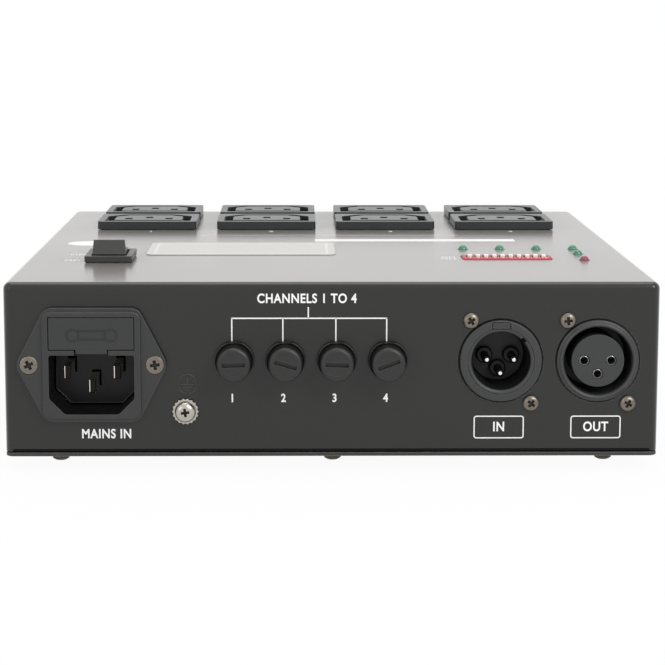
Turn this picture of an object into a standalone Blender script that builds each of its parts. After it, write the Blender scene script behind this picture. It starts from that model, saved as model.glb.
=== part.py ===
"""A four channel DMX switch pack: a folded steel case with eight mains outlets.

Units are metres, +Z is up and the connector panel faces -Y. The origin is on
the surface that the pack stands on, under the middle of the whole object.
"""

import math

import bmesh
import bpy
from mathutils import Matrix, Vector

# Gap left between pieces that touch.
FIT_GAP = 0.0003

# Facets round the data sockets, round the fuse holders and round small pieces.
SOCKET_SIDES = 32
HOLDER_SIDES = 16
SMALL_SIDES = 12

# Case: a folded tray over a flat floor.
CASE_WIDTH = 0.1861
CASE_DEPTH = 0.208
CASE_HEIGHT = 0.0485
SHEET = 0.0012
CORNER_RADIUS = 0.0024
TOP_BEND_RADIUS = 0.0020
FLOOR_BEND_RADIUS = 0.0008
FLANGE_WIDTH = 0.012
FLOOR_SHEET = 0.0012

# Rubber feet.
FOOT_RADIUS = 0.0080
FOOT_TAPER = 0.0012
FOOT_HEIGHT = 0.0040
FOOT_SCREW_RADIUS = 0.0036
FOOT_SCREW_DEPTH = 0.0022
FOOT_FROM_SIDE = 0.0305
FOOT_FROM_END = 0.036

# Fused mains inlet, centred on its fixing screws.
INLET_FROM_SIDE = 0.02505
INLET_UP = 0.0252
INLET_TIP_WIDTH = 0.0433
INLET_FLAT_WIDTH = 0.0266
INLET_HEIGHT = 0.0327
INLET_FLANGE = 0.0020
INLET_FRAME_WIDTH = 0.0280
INLET_FRAME_HEIGHT = 0.0306
INLET_FRAME_RISE = 0.0010
INLET_BODY_WIDTH = 0.0268
INLET_BODY_HEIGHT = 0.0292
INLET_BODY_DEPTH = 0.0240
INLET_SCREW_SPAN = 0.0356
INLET_SCREW_HOLE = 0.0014
INLET_SCREW_SEAT = 0.0027
CAVITY_WIDTH = 0.0241
CAVITY_HEIGHT = 0.0169
CAVITY_CHAMFER = 0.0045
CAVITY_DEPTH = 0.0168
CAVITY_DROP = 0.0055
BLADE_THICKNESS = 0.0020
BLADE_HEIGHT = 0.0040
BLADE_SPACING = 0.0140
BLADE_OFFSET = 0.0040
BLADE_RISE = 0.0033
BLADE_RECESS = 0.0025
TAG_THICKNESS = 0.0010
TAG_LENGTH = 0.0075

# Fuse drawer above the inlet's cavity.
DRAWER_WIDTH = 0.0238
DRAWER_HEIGHT = 0.0089
DRAWER_RISE = 0.0091
DRAWER_DEPTH = 0.0205
DRAWER_FLOOR = 0.0012
DRAWER_END = 0.0013
DRAWER_FRONT = 0.0036
TAB_WIDTH = 0.0091
TAB_THICKNESS = 0.0026

# Glass cartridge fuses.
FUSE_LENGTH = 0.0200
FUSE_RADIUS = 0.0026
FUSE_CAP_LENGTH = 0.0055
GLASS_RADIUS = 0.0023

# Row of panel fuse holders.
HOLDER_COUNT = 4
HOLDER_PITCH = 0.01453
HOLDER_ROW_X = -0.0060
HOLDER_UP = 0.0262
HOLDER_WALL = 0.0011
HOLDER_RING_WALL = 0.0005
HOLDER_RING_HEIGHT = 0.0018
HOLDER_RECESS = 0.0010
HOLDER_FLAT_FOOT = 0.0056
HOLDER_FLAT_TOP = 0.00485
HOLDER_END = 0.0030
HOLDER_NUT_FLATS = 0.0125
HOLDER_NUT_HEIGHT = 0.0028
HOLDER_TAG_WIDTH = 0.0042
KNOB_RADIUS = 0.0049
KNOB_PROUD = 0.0082
KNOB_EDGE = 0.0005
KNOB_SKIRT_WALL = 0.0005
KNOB_SKIRT_LENGTH = 0.0080
SLOT_LENGTH = 0.0066
SLOT_WIDTH = 0.0012
SLOT_DEPTH = 0.0012
KNOB_TURNS = (4.0, -16.0, -4.0, 20.0)

# Data sockets, the input with pins and the output with contacts.
DMX_OUT_FROM_SIDE = 0.01755
DMX_PITCH = 0.0276
DMX_UP = 0.0261
DMX_NOSE_RADIUS = 0.01175
DMX_NOSE_PROUD = 0.0010
DMX_EDGE = 0.0005
DMX_FLANGE_WIDTH = 0.0255
DMX_FLANGE_HEIGHT = 0.0310
DMX_FLANGE_THICKNESS = 0.0020
DMX_FLANGE_CORNER = 0.0030
DMX_BARREL_RADIUS = 0.0110
DMX_BARREL_DEPTH = 0.0200
DMX_SCREW_X = 0.0087
DMX_SCREW_Z = 0.0119
DMX_SCREW_HOLE = 0.0016
DMX_IN_RIM_RADIUS = 0.0095
DMX_IN_RIM_STEP = 0.0006
DMX_IN_BORE_RADIUS = 0.0079
DMX_IN_CAVITY = 0.0135
DMX_KEY_WIDTH = 0.0016
DMX_KEY_REACH = 0.0012
DMX_KEY_ANGLE = 47.0
DMX_LATCH_WIDTH = 0.0047
DMX_PIN_RADIUS = 0.0012
DMX_PIN_CIRCLE = 0.00385
DMX_PIN_RECESS = 0.0022
DMX_BOSS_RADIUS = 0.0024
DMX_BOSS_HEIGHT = 0.0022
DMX_OUT_BORE_RADIUS = 0.0097
DMX_BEAD_RADIUS = 0.0105
DMX_BEAD_RISE = 0.0003
DMX_OUT_RIM_STEP = 0.0004
DMX_OUT_CORE_RADIUS = 0.00755
DMX_OUT_CORE_RECESS = 0.0006
DMX_OUT_BASE_DEPTH = 0.0060
DMX_CONTACT_RADIUS = 0.00145
DMX_CONTACT_DEPTH = 0.0090
DMX_TAIL_RADIUS = 0.0009
DMX_TAIL_LENGTH = 0.0045

# Earth screw on the connector panel.
EARTH_FROM_SIDE = 0.05135
EARTH_UP = 0.0117
EARTH_HEAD_RADIUS = 0.0030
EARTH_HEAD_HEIGHT = 0.0022
EARTH_WASHER_RADIUS = 0.0038
EARTH_WASHER_THICKNESS = 0.0008
EARTH_SHANK_RADIUS = 0.0019
EARTH_SHANK_LENGTH = 0.0080
EARTH_TEETH = 14

# Mains outlets in two rows on the lid.
OUTLET_COLUMNS = 4
OUTLET_ROWS = 2
OUTLET_PITCH = 0.0411
OUTLET_ROW_PITCH = 0.0333
OUTLET_FROM_REAR = 0.0212
OUTLET_WIDTH = 0.0340
OUTLET_DEPTH = 0.0272
OUTLET_RIM = 0.0030
OUTLET_CORNER = 0.0014
OUTLET_EDGE = 0.0004
OUTLET_BODY_WALL = 0.0010
OUTLET_BODY_HEIGHT = 0.0215
GROOVE_WIDTH = 0.0030
GROOVE_DEPTH = 0.0165
ISLAND_WIDTH = 0.0234
ISLAND_DEPTH = 0.0161
ISLAND_CHAMFER = 0.0043
CONTACT_SLOT_LENGTH = 0.0046
CONTACT_SLOT_WIDTH = 0.0025
CONTACT_SLOT_DEPTH = 0.0150

# Power rocker switch.
SWITCH_FROM_SIDE = 0.0260
SWITCH_FROM_FRONT = 0.0560
SWITCH_WIDTH = 0.0144
SWITCH_LENGTH = 0.0210
SWITCH_BEZEL = 0.0021
SWITCH_CORNER = 0.0008
SWITCH_BODY_WALL = 0.0012
SWITCH_BODY_HEIGHT = 0.0190
SWITCH_POCKET = 0.0060
SWITCH_TAG_WIDTH = 0.0048
SWITCH_TAG_LENGTH = 0.0070
ROCKER_WIDTH = 0.0102
ROCKER_TAPER = 0.0004
ROCKER_HALF_LENGTH = 0.0072
ROCKER_RISE = 0.0028
ROCKER_TILT = 16.0
ROCKER_HUB = 0.0030
ROCKER_END_CLEARANCE = 0.0011
TRUNNION_RADIUS = 0.0010
TRUNNION_LENGTH = 0.0007

# Address switch with ten sliders.
DIP_FROM_SIDE = 0.0383
DIP_FROM_FRONT = 0.0593
DIP_WIDTH = 0.0273
DIP_LENGTH = 0.0099
DIP_PROUD = 0.0004
DIP_HEIGHT = 0.0065
DIP_WAYS = 10
DIP_PITCH = 0.00254
DIP_SLOT_WIDTH = 0.0020
DIP_SLOT_LENGTH = 0.0044
DIP_SLOT_DEPTH = 0.0012
SLIDER_WIDTH = 0.0014
SLIDER_LENGTH = 0.0016
SLIDER_PROUD = 0.0008

# Indicator lamps.
LED_RADIUS = 0.0015
LED_PROUD = 0.0014
LED_COLLAR_RADIUS = 0.0019
LED_SPACER_RADIUS = 0.0021
LED_COLLAR_HEIGHT = 0.0010
LED_PITCH = 0.0117
LED_LAST_FROM_SIDE = 0.01495
LED_ROW_FROM_FRONT = 0.0822
LED_COUNT = 4
LED_SIGNAL_FROM_FRONT = 0.0689
LED_POWER_FROM_FRONT = 0.0529

# Boards and transformer inside.
BOARD_THICKNESS = 0.0016
PILLAR_RADIUS = 0.0026
PILLAR_INSET = 0.0042
CONTROL_BOARD_WIDTH = 0.0520
CONTROL_BOARD_LENGTH = 0.0450
CONTROL_BOARD_FROM_SIDE = 0.03105
CONTROL_BOARD_FROM_FRONT = 0.0680
RELAY_BOARD_WIDTH = 0.0900
RELAY_BOARD_LENGTH = 0.0740
RELAY_BOARD_FROM_FRONT = 0.0900
RELAY_BOARD_LIFT = 0.0060
RELAY_COUNT = 4
RELAY_PITCH = 0.0200
RELAY_WIDTH = 0.0128
RELAY_LENGTH = 0.0290
RELAY_HEIGHT = 0.0157
SNUBBER_RADIUS = 0.0040
SNUBBER_HEIGHT = 0.0100
SNUBBER_GAP = 0.0060
TERMINAL_DEPTH = 0.0080
TERMINAL_HEIGHT = 0.0100
CHIP_WIDTH = 0.0340
CHIP_LENGTH = 0.0075
CHIP_HEIGHT = 0.0040
HEADER_WIDTH = 0.0150
HEADER_LENGTH = 0.0060
HEADER_HEIGHT = 0.0080
TRANSFORMER_FROM_SIDE = 0.02655
TRANSFORMER_CLEARANCE = 0.00195
CORE_WIDTH = 0.0350
CORE_DEPTH = 0.0150
CORE_HEIGHT = 0.0290
COIL_WIDTH = 0.0215
COIL_DEPTH = 0.0270
COIL_HEIGHT = 0.0185
BRACKET_THICKNESS = 0.0012
BRACKET_FOOT = 0.0060

# Levels and planes worked out from the sizes above.
FLOOR_Z = FOOT_HEIGHT + FIT_GAP
COVER_Z = FLOOR_Z + FLOOR_SHEET + FIT_GAP
TOP_Z = COVER_Z + CASE_HEIGHT
FRONT_Y = -(CASE_DEPTH - KNOB_PROUD) / 2
CASE_CENTRE_Y = FRONT_Y + CASE_DEPTH / 2
BACK_OF_SHEET = -SHEET - FIT_GAP
INLET_FACE = INLET_FLANGE + INLET_FRAME_RISE
CONTROL_BOARD_TOP = DIP_PROUD - DIP_HEIGHT - FIT_GAP
BORE_RADIUS = FUSE_RADIUS + 2 * FIT_GAP + KNOB_SKIRT_WALL
HOLDER_RADIUS = BORE_RADIUS + HOLDER_WALL
RECESS_RADIUS = KNOB_RADIUS + FIT_GAP
RING_RADIUS = RECESS_RADIUS + HOLDER_RING_WALL
FUSE_FRONT = HOLDER_RECESS - KNOB_SKIRT_WALL - FIT_GAP


def rectangle(width, height, x=0.0, y=0.0):
    """Corners of a rectangle, anticlockwise."""
    return [
        (x - width / 2, y - height / 2),
        (x + width / 2, y - height / 2),
        (x + width / 2, y + height / 2),
        (x - width / 2, y + height / 2),
    ]


def earthed_outline(width, height, chamfer, side, y=0.0):
    """Corners of a mains connector's outline, with two corners cut on one side."""
    corners = [
        (width / 2, -height / 2),
        (width / 2, height / 2 - chamfer),
        (width / 2 - chamfer, height / 2),
        (-width / 2 + chamfer, height / 2),
        (-width / 2, height / 2 - chamfer),
        (-width / 2, -height / 2),
    ]
    if side < 0:
        corners = [(-px, -py) for px, py in corners]
    return [(px, py + y) for px, py in corners]


def rounded(corners, radius, z, inset=0.0, steps=3):
    """One ring of points: a convex outline moved inwards, with round corners."""
    ring = []
    for index, point in enumerate(corners):
        corner = Vector(point)
        following = Vector(corners[(index + 1) % len(corners)])
        arriving = (corner - Vector(corners[index - 1])).normalized()
        leaving = (following - corner).normalized()
        turn = math.atan2(arriving.cross(leaving), arriving.dot(leaving))
        inward_in = Vector((-arriving.y, arriving.x))
        inward_out = Vector((-leaving.y, leaving.x))
        corner += (inward_in + inward_out) * inset / (1 + inward_in.dot(inward_out))
        fillet = max(radius - inset, FIT_GAP / 10)
        centre = corner - arriving * fillet * math.tan(turn / 2) + inward_in * fillet
        start = math.atan2(-inward_in.y, -inward_in.x)
        for step in range(steps + 1):
            angle = start + turn * step / steps
            x = centre.x + fillet * math.cos(angle)
            y = centre.y + fillet * math.sin(angle)
            ring.append((x, y, z))
    return ring


def skin(rings, joined=False):
    """A closed mesh through rings of equal length, capped or joined end to end."""
    bm = bmesh.new()
    loops = [[bm.verts.new(point) for point in ring] for ring in rings]
    pairs = list(zip(loops, loops[1:]))
    if joined:
        pairs.append((loops[-1], loops[0]))
    else:
        bm.faces.new(loops[0])
        bm.faces.new(loops[-1])
    for lower, upper in pairs:
        for index in range(len(lower)):
            following = (index + 1) % len(lower)
            bm.faces.new((lower[index], lower[following], upper[following], upper[index]))
    bmesh.ops.recalc_face_normals(bm, faces=bm.faces)
    mesh = bpy.data.meshes.new("shape")
    bm.to_mesh(mesh)
    bm.free()
    return mesh


def prism(corners, radius, levels, steps=3):
    """A body with one outline, given as levels of height and inset."""
    return skin([rounded(corners, radius, z, inset, steps) for z, inset in levels])


def block(width, depth, low, high, x=0.0, y=0.0):
    """A plain square block between two heights."""
    corners = rectangle(width, depth, x, y)
    return skin([[(px, py, z) for px, py in corners] for z in (low, high)])


def circle(radius, z, sides, x=0.0, y=0.0, phase=0.0):
    """One ring of points on a circle."""
    ring = []
    for index in range(sides):
        angle = phase + 2 * math.pi * index / sides
        ring.append((x + radius * math.cos(angle), y + radius * math.sin(angle), z))
    return ring


def turned(profile, sides=SMALL_SIDES, x=0.0, y=0.0, joined=False):
    """A turned body from pairs of radius and height."""
    return skin([circle(radius, z, sides, x, y) for radius, z in profile], joined)


def rod(radius, low, high, sides=SMALL_SIDES, x=0.0, y=0.0):
    """A plain round bar between two heights."""
    return turned([(radius, low), (radius, high)], sides, x, y)


def placed(mesh, matrix):
    """The same mesh, moved."""
    mesh.transform(matrix)
    return mesh


def gathered(meshes):
    """Several separate bodies in one mesh, for use as one tool."""
    bm = bmesh.new()
    for mesh in meshes:
        bm.from_mesh(mesh)
        bpy.data.meshes.remove(mesh)
    result = bpy.data.meshes.new("tool")
    bm.to_mesh(result)
    bm.free()
    return result


def worked(mesh, *steps):
    """The mesh after Boolean steps, each an operation and a tool's mesh."""
    body = bpy.data.objects.new("workpiece", mesh)
    bpy.context.collection.objects.link(body)
    tools = []
    for operation, tool_mesh in steps:
        tool = bpy.data.objects.new("tool", tool_mesh)
        bpy.context.collection.objects.link(tool)
        modifier = body.modifiers.new(operation.lower(), 'BOOLEAN')
        modifier.operation = operation
        modifier.solver = 'EXACT'
        modifier.object = tool
        tools.append(tool)
    depsgraph = bpy.context.evaluated_depsgraph_get()
    result = bpy.data.meshes.new_from_object(body.evaluated_get(depsgraph))
    for thing in [body] + tools:
        used = thing.data
        bpy.data.objects.remove(thing)
        bpy.data.meshes.remove(used)
    return result


def finish(name, colour, roughness, metallic=0.0):
    """A plain material of one colour."""
    material = bpy.data.materials.new(name)
    material.use_nodes = True
    shader = material.node_tree.nodes["Principled BSDF"]
    shader.inputs["Base Color"].default_value = (*colour, 1.0)
    shader.inputs["Roughness"].default_value = roughness
    shader.inputs["Metallic"].default_value = metallic
    material.diffuse_color = (*colour, 1.0)
    return material


def piece(name, mesh, material, place=(0.0, 0.0, 0.0), parent=None, turn=(0.0, 0.0, 0.0)):
    """One named sub-part, with its origin at the given place."""
    if mesh.users:
        mesh = mesh.copy()
    mesh.name = name
    mesh.materials.clear()
    mesh.materials.append(material)
    item = bpy.data.objects.new(name, mesh)
    item.location = place
    item.rotation_euler = turn
    item.parent = parent
    bpy.context.collection.objects.link(item)
    mesh.shade_smooth()
    mesh.set_sharp_from_angle(angle=math.radians(35))
    return item


def guide(name, matrix):
    """An empty that holds the pieces of one panel."""
    empty = bpy.data.objects.new(name, None)
    empty.matrix_world = matrix
    bpy.context.collection.objects.link(empty)
    return empty


# Places on the connector panel: x, and height over the case's lower edge.
def inlet_place():
    return (-CASE_WIDTH / 2 + INLET_FROM_SIDE, INLET_UP, 0.0)


def holder_places():
    first = HOLDER_ROW_X - HOLDER_PITCH * (HOLDER_COUNT - 1) / 2
    return [(first + HOLDER_PITCH * index, HOLDER_UP, 0.0) for index in range(HOLDER_COUNT)]


def dmx_out_place():
    return (CASE_WIDTH / 2 - DMX_OUT_FROM_SIDE, DMX_UP, 0.0)


def dmx_in_place():
    return (CASE_WIDTH / 2 - DMX_OUT_FROM_SIDE - DMX_PITCH, DMX_UP, 0.0)


def earth_place():
    return (-CASE_WIDTH / 2 + EARTH_FROM_SIDE, EARTH_UP, 0.0)


# Places on the lid: x, and distance behind the connector panel.
def outlet_places():
    places = []
    for row in range(OUTLET_ROWS):
        y = CASE_DEPTH - OUTLET_FROM_REAR - OUTLET_ROW_PITCH * (OUTLET_ROWS - 1 - row)
        for column in range(OUTLET_COLUMNS):
            x = OUTLET_PITCH * (column - (OUTLET_COLUMNS - 1) / 2)
            places.append((x, y, 0.0))
    return places


def switch_place():
    return (-CASE_WIDTH / 2 + SWITCH_FROM_SIDE, SWITCH_FROM_FRONT, 0.0)


def dip_place():
    return (CASE_WIDTH / 2 - DIP_FROM_SIDE, DIP_FROM_FRONT, 0.0)


def slider_places():
    x, y, z = dip_place()
    first = x - DIP_PITCH * (DIP_WAYS - 1) / 2
    near = y - (DIP_SLOT_LENGTH - SLIDER_LENGTH) / 2 + FIT_GAP
    return [(first + DIP_PITCH * index, near, z) for index in range(DIP_WAYS)]


def led_places():
    x = CASE_WIDTH / 2 - LED_LAST_FROM_SIDE
    first = x - LED_PITCH * (LED_COUNT - 1)
    places = [(first + LED_PITCH * index, LED_ROW_FROM_FRONT, 0.0) for index in range(LED_COUNT)]
    places.append((x, LED_SIGNAL_FROM_FRONT, 0.0))
    places.append((x, LED_POWER_FROM_FRONT, 0.0))
    return places


def control_board_place():
    return (CASE_WIDTH / 2 - CONTROL_BOARD_FROM_SIDE, CONTROL_BOARD_FROM_FRONT, 0.0)


def board_corners(width, length, x, y):
    """Pillar places near a board's four corners."""
    return rectangle(width - 2 * PILLAR_INSET, length - 2 * PILLAR_INSET, x, y)


def panel_cutouts():
    """Tools that cut the connector panel, each one a fit round what goes through."""
    low, high = -SHEET - CORNER_RADIUS, CORNER_RADIUS
    x, y, _ = inlet_place()
    inlet = rectangle(INLET_BODY_WIDTH + 2 * FIT_GAP, INLET_BODY_HEIGHT + 2 * FIT_GAP, x, y)
    tools = [prism(inlet, INLET_FLANGE / 2, [(low, 0), (high, 0)], 1)]
    for x, y, _ in holder_places():
        tools.append(rod(HOLDER_RADIUS + FIT_GAP, low, high, HOLDER_SIDES, x, y))
    for x, y, _ in (dmx_in_place(), dmx_out_place()):
        tools.append(rod(DMX_NOSE_RADIUS + FIT_GAP, low, high, SOCKET_SIDES, x, y))
    x, y, _ = earth_place()
    tools.append(rod(EARTH_SHANK_RADIUS + FIT_GAP, low, high, SMALL_SIDES, x, y))
    return tools


def lid_cutouts():
    """Tools that cut the lid for the outlets, switches and lamps."""
    low, high = -SHEET - CORNER_RADIUS, CORNER_RADIUS
    tools = []
    for x, y, _ in outlet_places():
        width, depth = outlet_body_size()
        hole = rectangle(width + 2 * FIT_GAP, depth + 2 * FIT_GAP, x, y)
        tools.append(prism(hole, OUTLET_CORNER, [(low, 0), (high, 0)], 1))
    x, y, _ = switch_place()
    width, length = switch_body_size()
    tools.append(block(width + 2 * FIT_GAP, length + 2 * FIT_GAP, low, high, x, y))
    x, y, _ = dip_place()
    tools.append(block(DIP_WIDTH + 2 * FIT_GAP, DIP_LENGTH + 2 * FIT_GAP, low, high, x, y))
    for x, y, _ in led_places():
        tools.append(rod(LED_RADIUS + FIT_GAP, low, high, SMALL_SIDES, x, y))
    return tools


def case_ring(z, inset, end_inset):
    """One ring of the case, drawn in by one amount at its sides and one at its ends."""
    corners = rectangle(CASE_WIDTH - 2 * inset, CASE_DEPTH - 2 * end_inset, 0.0, CASE_DEPTH / 2)
    return rounded(corners, max(CORNER_RADIUS - inset, FIT_GAP), z, 0.0, 2)


def build_cover(material):
    """Lid, panels and sides folded from one sheet, with flanges for the floor."""
    steps = 3
    angles = [math.pi / 2 * step / steps for step in range(steps + 1)]
    inner_radius = TOP_BEND_RADIUS - SHEET
    rings = []
    for angle in reversed(angles):
        inset = TOP_BEND_RADIUS - inner_radius * math.cos(angle)
        z = CASE_HEIGHT - TOP_BEND_RADIUS + inner_radius * math.sin(angle)
        rings.append(case_ring(z, inset, inset))
    rings.append(case_ring(SHEET, SHEET, SHEET))
    rings.append(case_ring(0.0, SHEET, SHEET))
    for angle in angles:
        inset = FLOOR_BEND_RADIUS * (1 - math.sin(angle))
        rings.append(case_ring(FLOOR_BEND_RADIUS * (1 - math.cos(angle)), 0.0, inset))
    for angle in angles:
        inset = TOP_BEND_RADIUS * (1 - math.cos(angle))
        z = CASE_HEIGHT - TOP_BEND_RADIUS + TOP_BEND_RADIUS * math.sin(angle)
        rings.append(case_ring(z, inset, inset))
    shell = skin(rings)
    fold_flanges(shell)
    lid = Matrix.Translation((0, 0, CASE_HEIGHT))
    panel = Matrix.Rotation(math.pi / 2, 4, 'X')
    x, y, _ = control_board_place()
    pillars = []
    for px, py in board_corners(CONTROL_BOARD_WIDTH, CONTROL_BOARD_LENGTH, x, y):
        pillars.append(rod(PILLAR_RADIUS, CONTROL_BOARD_TOP + FIT_GAP, -SHEET / 2, SMALL_SIDES, px, py))
    cutouts = [placed(tool, panel) for tool in panel_cutouts()]
    cutouts += [placed(tool, lid) for tool in lid_cutouts()]
    mesh = worked(
        shell,
        ('UNION', placed(gathered(pillars), lid)),
        ('DIFFERENCE', gathered(cutouts)),
    )
    return piece("top_cover", mesh, material, (0.0, FRONT_Y, COVER_Z))


def fold_flanges(mesh):
    """Fold the lower edges of the front and rear panels inwards."""
    bm = bmesh.new()
    bm.from_mesh(mesh)
    straight = CASE_WIDTH / 2
    square_on = 0.99
    for end, inward in ((SHEET, 1.0), (CASE_DEPTH - SHEET, -1.0)):
        for face in list(bm.faces):
            middle = face.calc_center_median()
            on_wall = abs(middle.y - end) < FIT_GAP / 10 and abs(face.normal.y) > square_on
            if on_wall and middle.z < SHEET and face.calc_area() > straight * SHEET:
                grown = bmesh.ops.extrude_face_region(bm, geom=[face])
                bmesh.ops.delete(bm, geom=[face], context='FACES_ONLY')
                corners = [item for item in grown['geom'] if isinstance(item, bmesh.types.BMVert)]
                shift = (0, inward * (FLANGE_WIDTH - SHEET), 0)
                bmesh.ops.translate(bm, verts=corners, vec=shift)
                break
    bmesh.ops.recalc_face_normals(bm, faces=bm.faces)
    bm.to_mesh(mesh)
    bm.free()


def build_floor(material):
    """Flat floor sheet with pressed pillars that carry the relay board."""
    corners = rectangle(CASE_WIDTH, CASE_DEPTH, 0.0, CASE_DEPTH / 2)
    sheet = prism(corners, CORNER_RADIUS, [(0.0, 0.0), (FLOOR_SHEET, 0.0)])
    pillars = []
    top = FLOOR_SHEET + RELAY_BOARD_LIFT
    for x, y in board_corners(RELAY_BOARD_WIDTH, RELAY_BOARD_LENGTH, 0.0, RELAY_BOARD_FROM_FRONT):
        pillars.append(rod(PILLAR_RADIUS, FLOOR_SHEET / 2, top, SMALL_SIDES, x, y))
    mesh = worked(sheet, ('UNION', gathered(pillars)))
    return piece("bottom_plate", mesh, material, (0.0, FRONT_Y, FLOOR_Z))


def build_feet(material):
    """Four turned rubber feet, each with a pocket for its screw."""
    profile = [
        (FOOT_SCREW_RADIUS, FOOT_SCREW_DEPTH),
        (FOOT_SCREW_RADIUS, 0.0),
        (FOOT_RADIUS - FOOT_TAPER * 1.5, 0.0),
        (FOOT_RADIUS - FOOT_TAPER, FOOT_TAPER / 3),
        (FOOT_RADIUS, FOOT_HEIGHT),
    ]
    mesh = turned(profile, HOLDER_SIDES)
    across = CASE_WIDTH / 2 - FOOT_FROM_SIDE
    along = CASE_DEPTH / 2 - FOOT_FROM_END
    names = ("foot_front_left", "foot_front_right", "foot_rear_right", "foot_rear_left")
    for name, (x, y) in zip(names, rectangle(2 * across, 2 * along, 0.0, CASE_CENTRE_Y)):
        piece(name, mesh, material, (x, y, 0.0))


def tagged_blade(front, back, tag_end):
    """A flat pin with a chamfered tip and a thinner solder tag at its back."""
    blade = rectangle(BLADE_THICKNESS, BLADE_HEIGHT)
    tag = rectangle(TAG_THICKNESS, BLADE_HEIGHT)
    edge = BLADE_THICKNESS / 4
    rings = [
        rounded(blade, edge, front, edge, 1),
        rounded(blade, edge, front - 2 * edge, 0.0, 1),
        rounded(blade, edge, back, 0.0, 1),
        rounded(tag, TAG_THICKNESS / 4, back, 0.0, 1),
        rounded(tag, TAG_THICKNESS / 4, tag_end, 0.0, 1),
    ]
    return skin(rings)


def blade_places():
    """Live and neutral pins in a row, and the earth pin nearer the cut corners."""
    height = BLADE_RISE - CAVITY_DROP
    return [
        ("inlet_pin_live", -BLADE_SPACING / 2, height),
        ("inlet_pin_neutral", BLADE_SPACING / 2, height),
        ("inlet_pin_earth", 0.0, height - BLADE_OFFSET),
    ]


def drawer_corners(clearance=0.0):
    """Outline of the fuse drawer, seen from the front."""
    width = DRAWER_WIDTH + 2 * clearance
    return rectangle(width, DRAWER_HEIGHT + 2 * clearance, 0.0, DRAWER_RISE)


def tab_block(front, back, clearance=0.0):
    """The drawer's finger tab, which reaches down to the inlet's cavity."""
    lower = CAVITY_HEIGHT / 2 - CAVITY_DROP + FIT_GAP - 2 * clearance
    upper = DRAWER_RISE
    return block(TAB_WIDTH + 2 * clearance, upper - lower, back, front, 0.0, (upper + lower) / 2)


def build_inlet(parent, shell_material, blade_material):
    """Moulded inlet with its flange, frame, cavity, drawer slot and three pins."""
    place = inlet_place()
    tip, flat, half = INLET_TIP_WIDTH / 2, INLET_FLAT_WIDTH / 2, INLET_HEIGHT / 2
    hexagon = [(-flat, -half), (flat, -half), (tip, 0.0), (flat, half), (-flat, half), (-tip, 0.0)]
    edge = INLET_FLANGE / 3
    flange_levels = [(FIT_GAP, 0.0), (INLET_FLANGE - edge, 0.0), (INLET_FLANGE, edge)]
    flange = prism(hexagon, INLET_FLANGE * 1.6, flange_levels)
    frame = rectangle(INLET_FRAME_WIDTH, INLET_FRAME_HEIGHT)
    frame_levels = [(FIT_GAP * 2, 0.0), (INLET_FACE - edge / 2, 0.0), (INLET_FACE, edge / 2)]
    body = rectangle(INLET_BODY_WIDTH, INLET_BODY_HEIGHT)
    body_levels = [(-INLET_BODY_DEPTH, 0.0), (INLET_FLANGE / 2, 0.0)]
    cavity = earthed_outline(CAVITY_WIDTH, CAVITY_HEIGHT, CAVITY_CHAMFER, -1, -CAVITY_DROP)
    cavity_floor = INLET_FACE - CAVITY_DEPTH
    above = INLET_FACE + FIT_GAP
    slot_end = INLET_FACE - DRAWER_DEPTH - FIT_GAP
    tab_end = INLET_FACE - TAB_THICKNESS - FIT_GAP
    holes = []
    for _, x, y in blade_places():
        width, height = BLADE_THICKNESS + 2 * FIT_GAP, BLADE_HEIGHT + 2 * FIT_GAP
        low = -INLET_BODY_DEPTH - FIT_GAP
        holes.append(block(width, height, low, cavity_floor + FIT_GAP, x, y))
    seat = [
        (INLET_SCREW_HOLE, 0.0),
        (INLET_SCREW_HOLE, INLET_FLANGE - INLET_SCREW_HOLE),
        (INLET_SCREW_SEAT, INLET_FLANGE - FIT_GAP),
        (INLET_SCREW_SEAT, above),
    ]
    for side in (-1, 1):
        holes.append(turned(seat, SMALL_SIDES, side * INLET_SCREW_SPAN / 2))
    mesh = worked(
        flange,
        ('UNION', prism(frame, INLET_FLANGE, frame_levels)),
        ('UNION', prism(body, INLET_FLANGE / 2, body_levels, 1)),
        ('DIFFERENCE', prism(cavity, FIT_GAP * 3, [(cavity_floor, 0.0), (above, 0.0)], 2)),
        ('DIFFERENCE', prism(drawer_corners(FIT_GAP), FIT_GAP, [(slot_end, 0.0), (above, 0.0)], 1)),
        ('DIFFERENCE', tab_block(above, tab_end, FIT_GAP)),
        ('DIFFERENCE', gathered(holes)),
    )
    piece("inlet_body", mesh, shell_material, place, parent)
    front = INLET_FACE - BLADE_RECESS
    back = -INLET_BODY_DEPTH + TAG_LENGTH / 3
    for name, x, y in blade_places():
        blade = tagged_blade(front, back, -INLET_BODY_DEPTH - TAG_LENGTH)
        piece(name, blade, blade_material, (place[0] + x, place[1] + y, 0.0), parent)


def fuse_mesh():
    """Glass cartridge with two metal end caps, along its own Z from 0 downwards."""
    profile = [
        (FUSE_RADIUS, 0.0),
        (FUSE_RADIUS, -FUSE_CAP_LENGTH),
        (GLASS_RADIUS, -FUSE_CAP_LENGTH),
        (GLASS_RADIUS, -FUSE_LENGTH + FUSE_CAP_LENGTH),
        (FUSE_RADIUS, -FUSE_LENGTH + FUSE_CAP_LENGTH),
        (FUSE_RADIUS, -FUSE_LENGTH),
    ]
    return turned(profile)


def drawer_cradles():
    """Depths of the middle of the spare fuse and of the fuse in use."""
    room = 2 * (FUSE_RADIUS + FIT_GAP)
    back = INLET_FACE - DRAWER_DEPTH + DRAWER_END + room / 2
    front = INLET_FACE - DRAWER_FRONT - room / 2
    return [("spare_fuse", front), ("drawer_fuse", back)]


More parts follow.
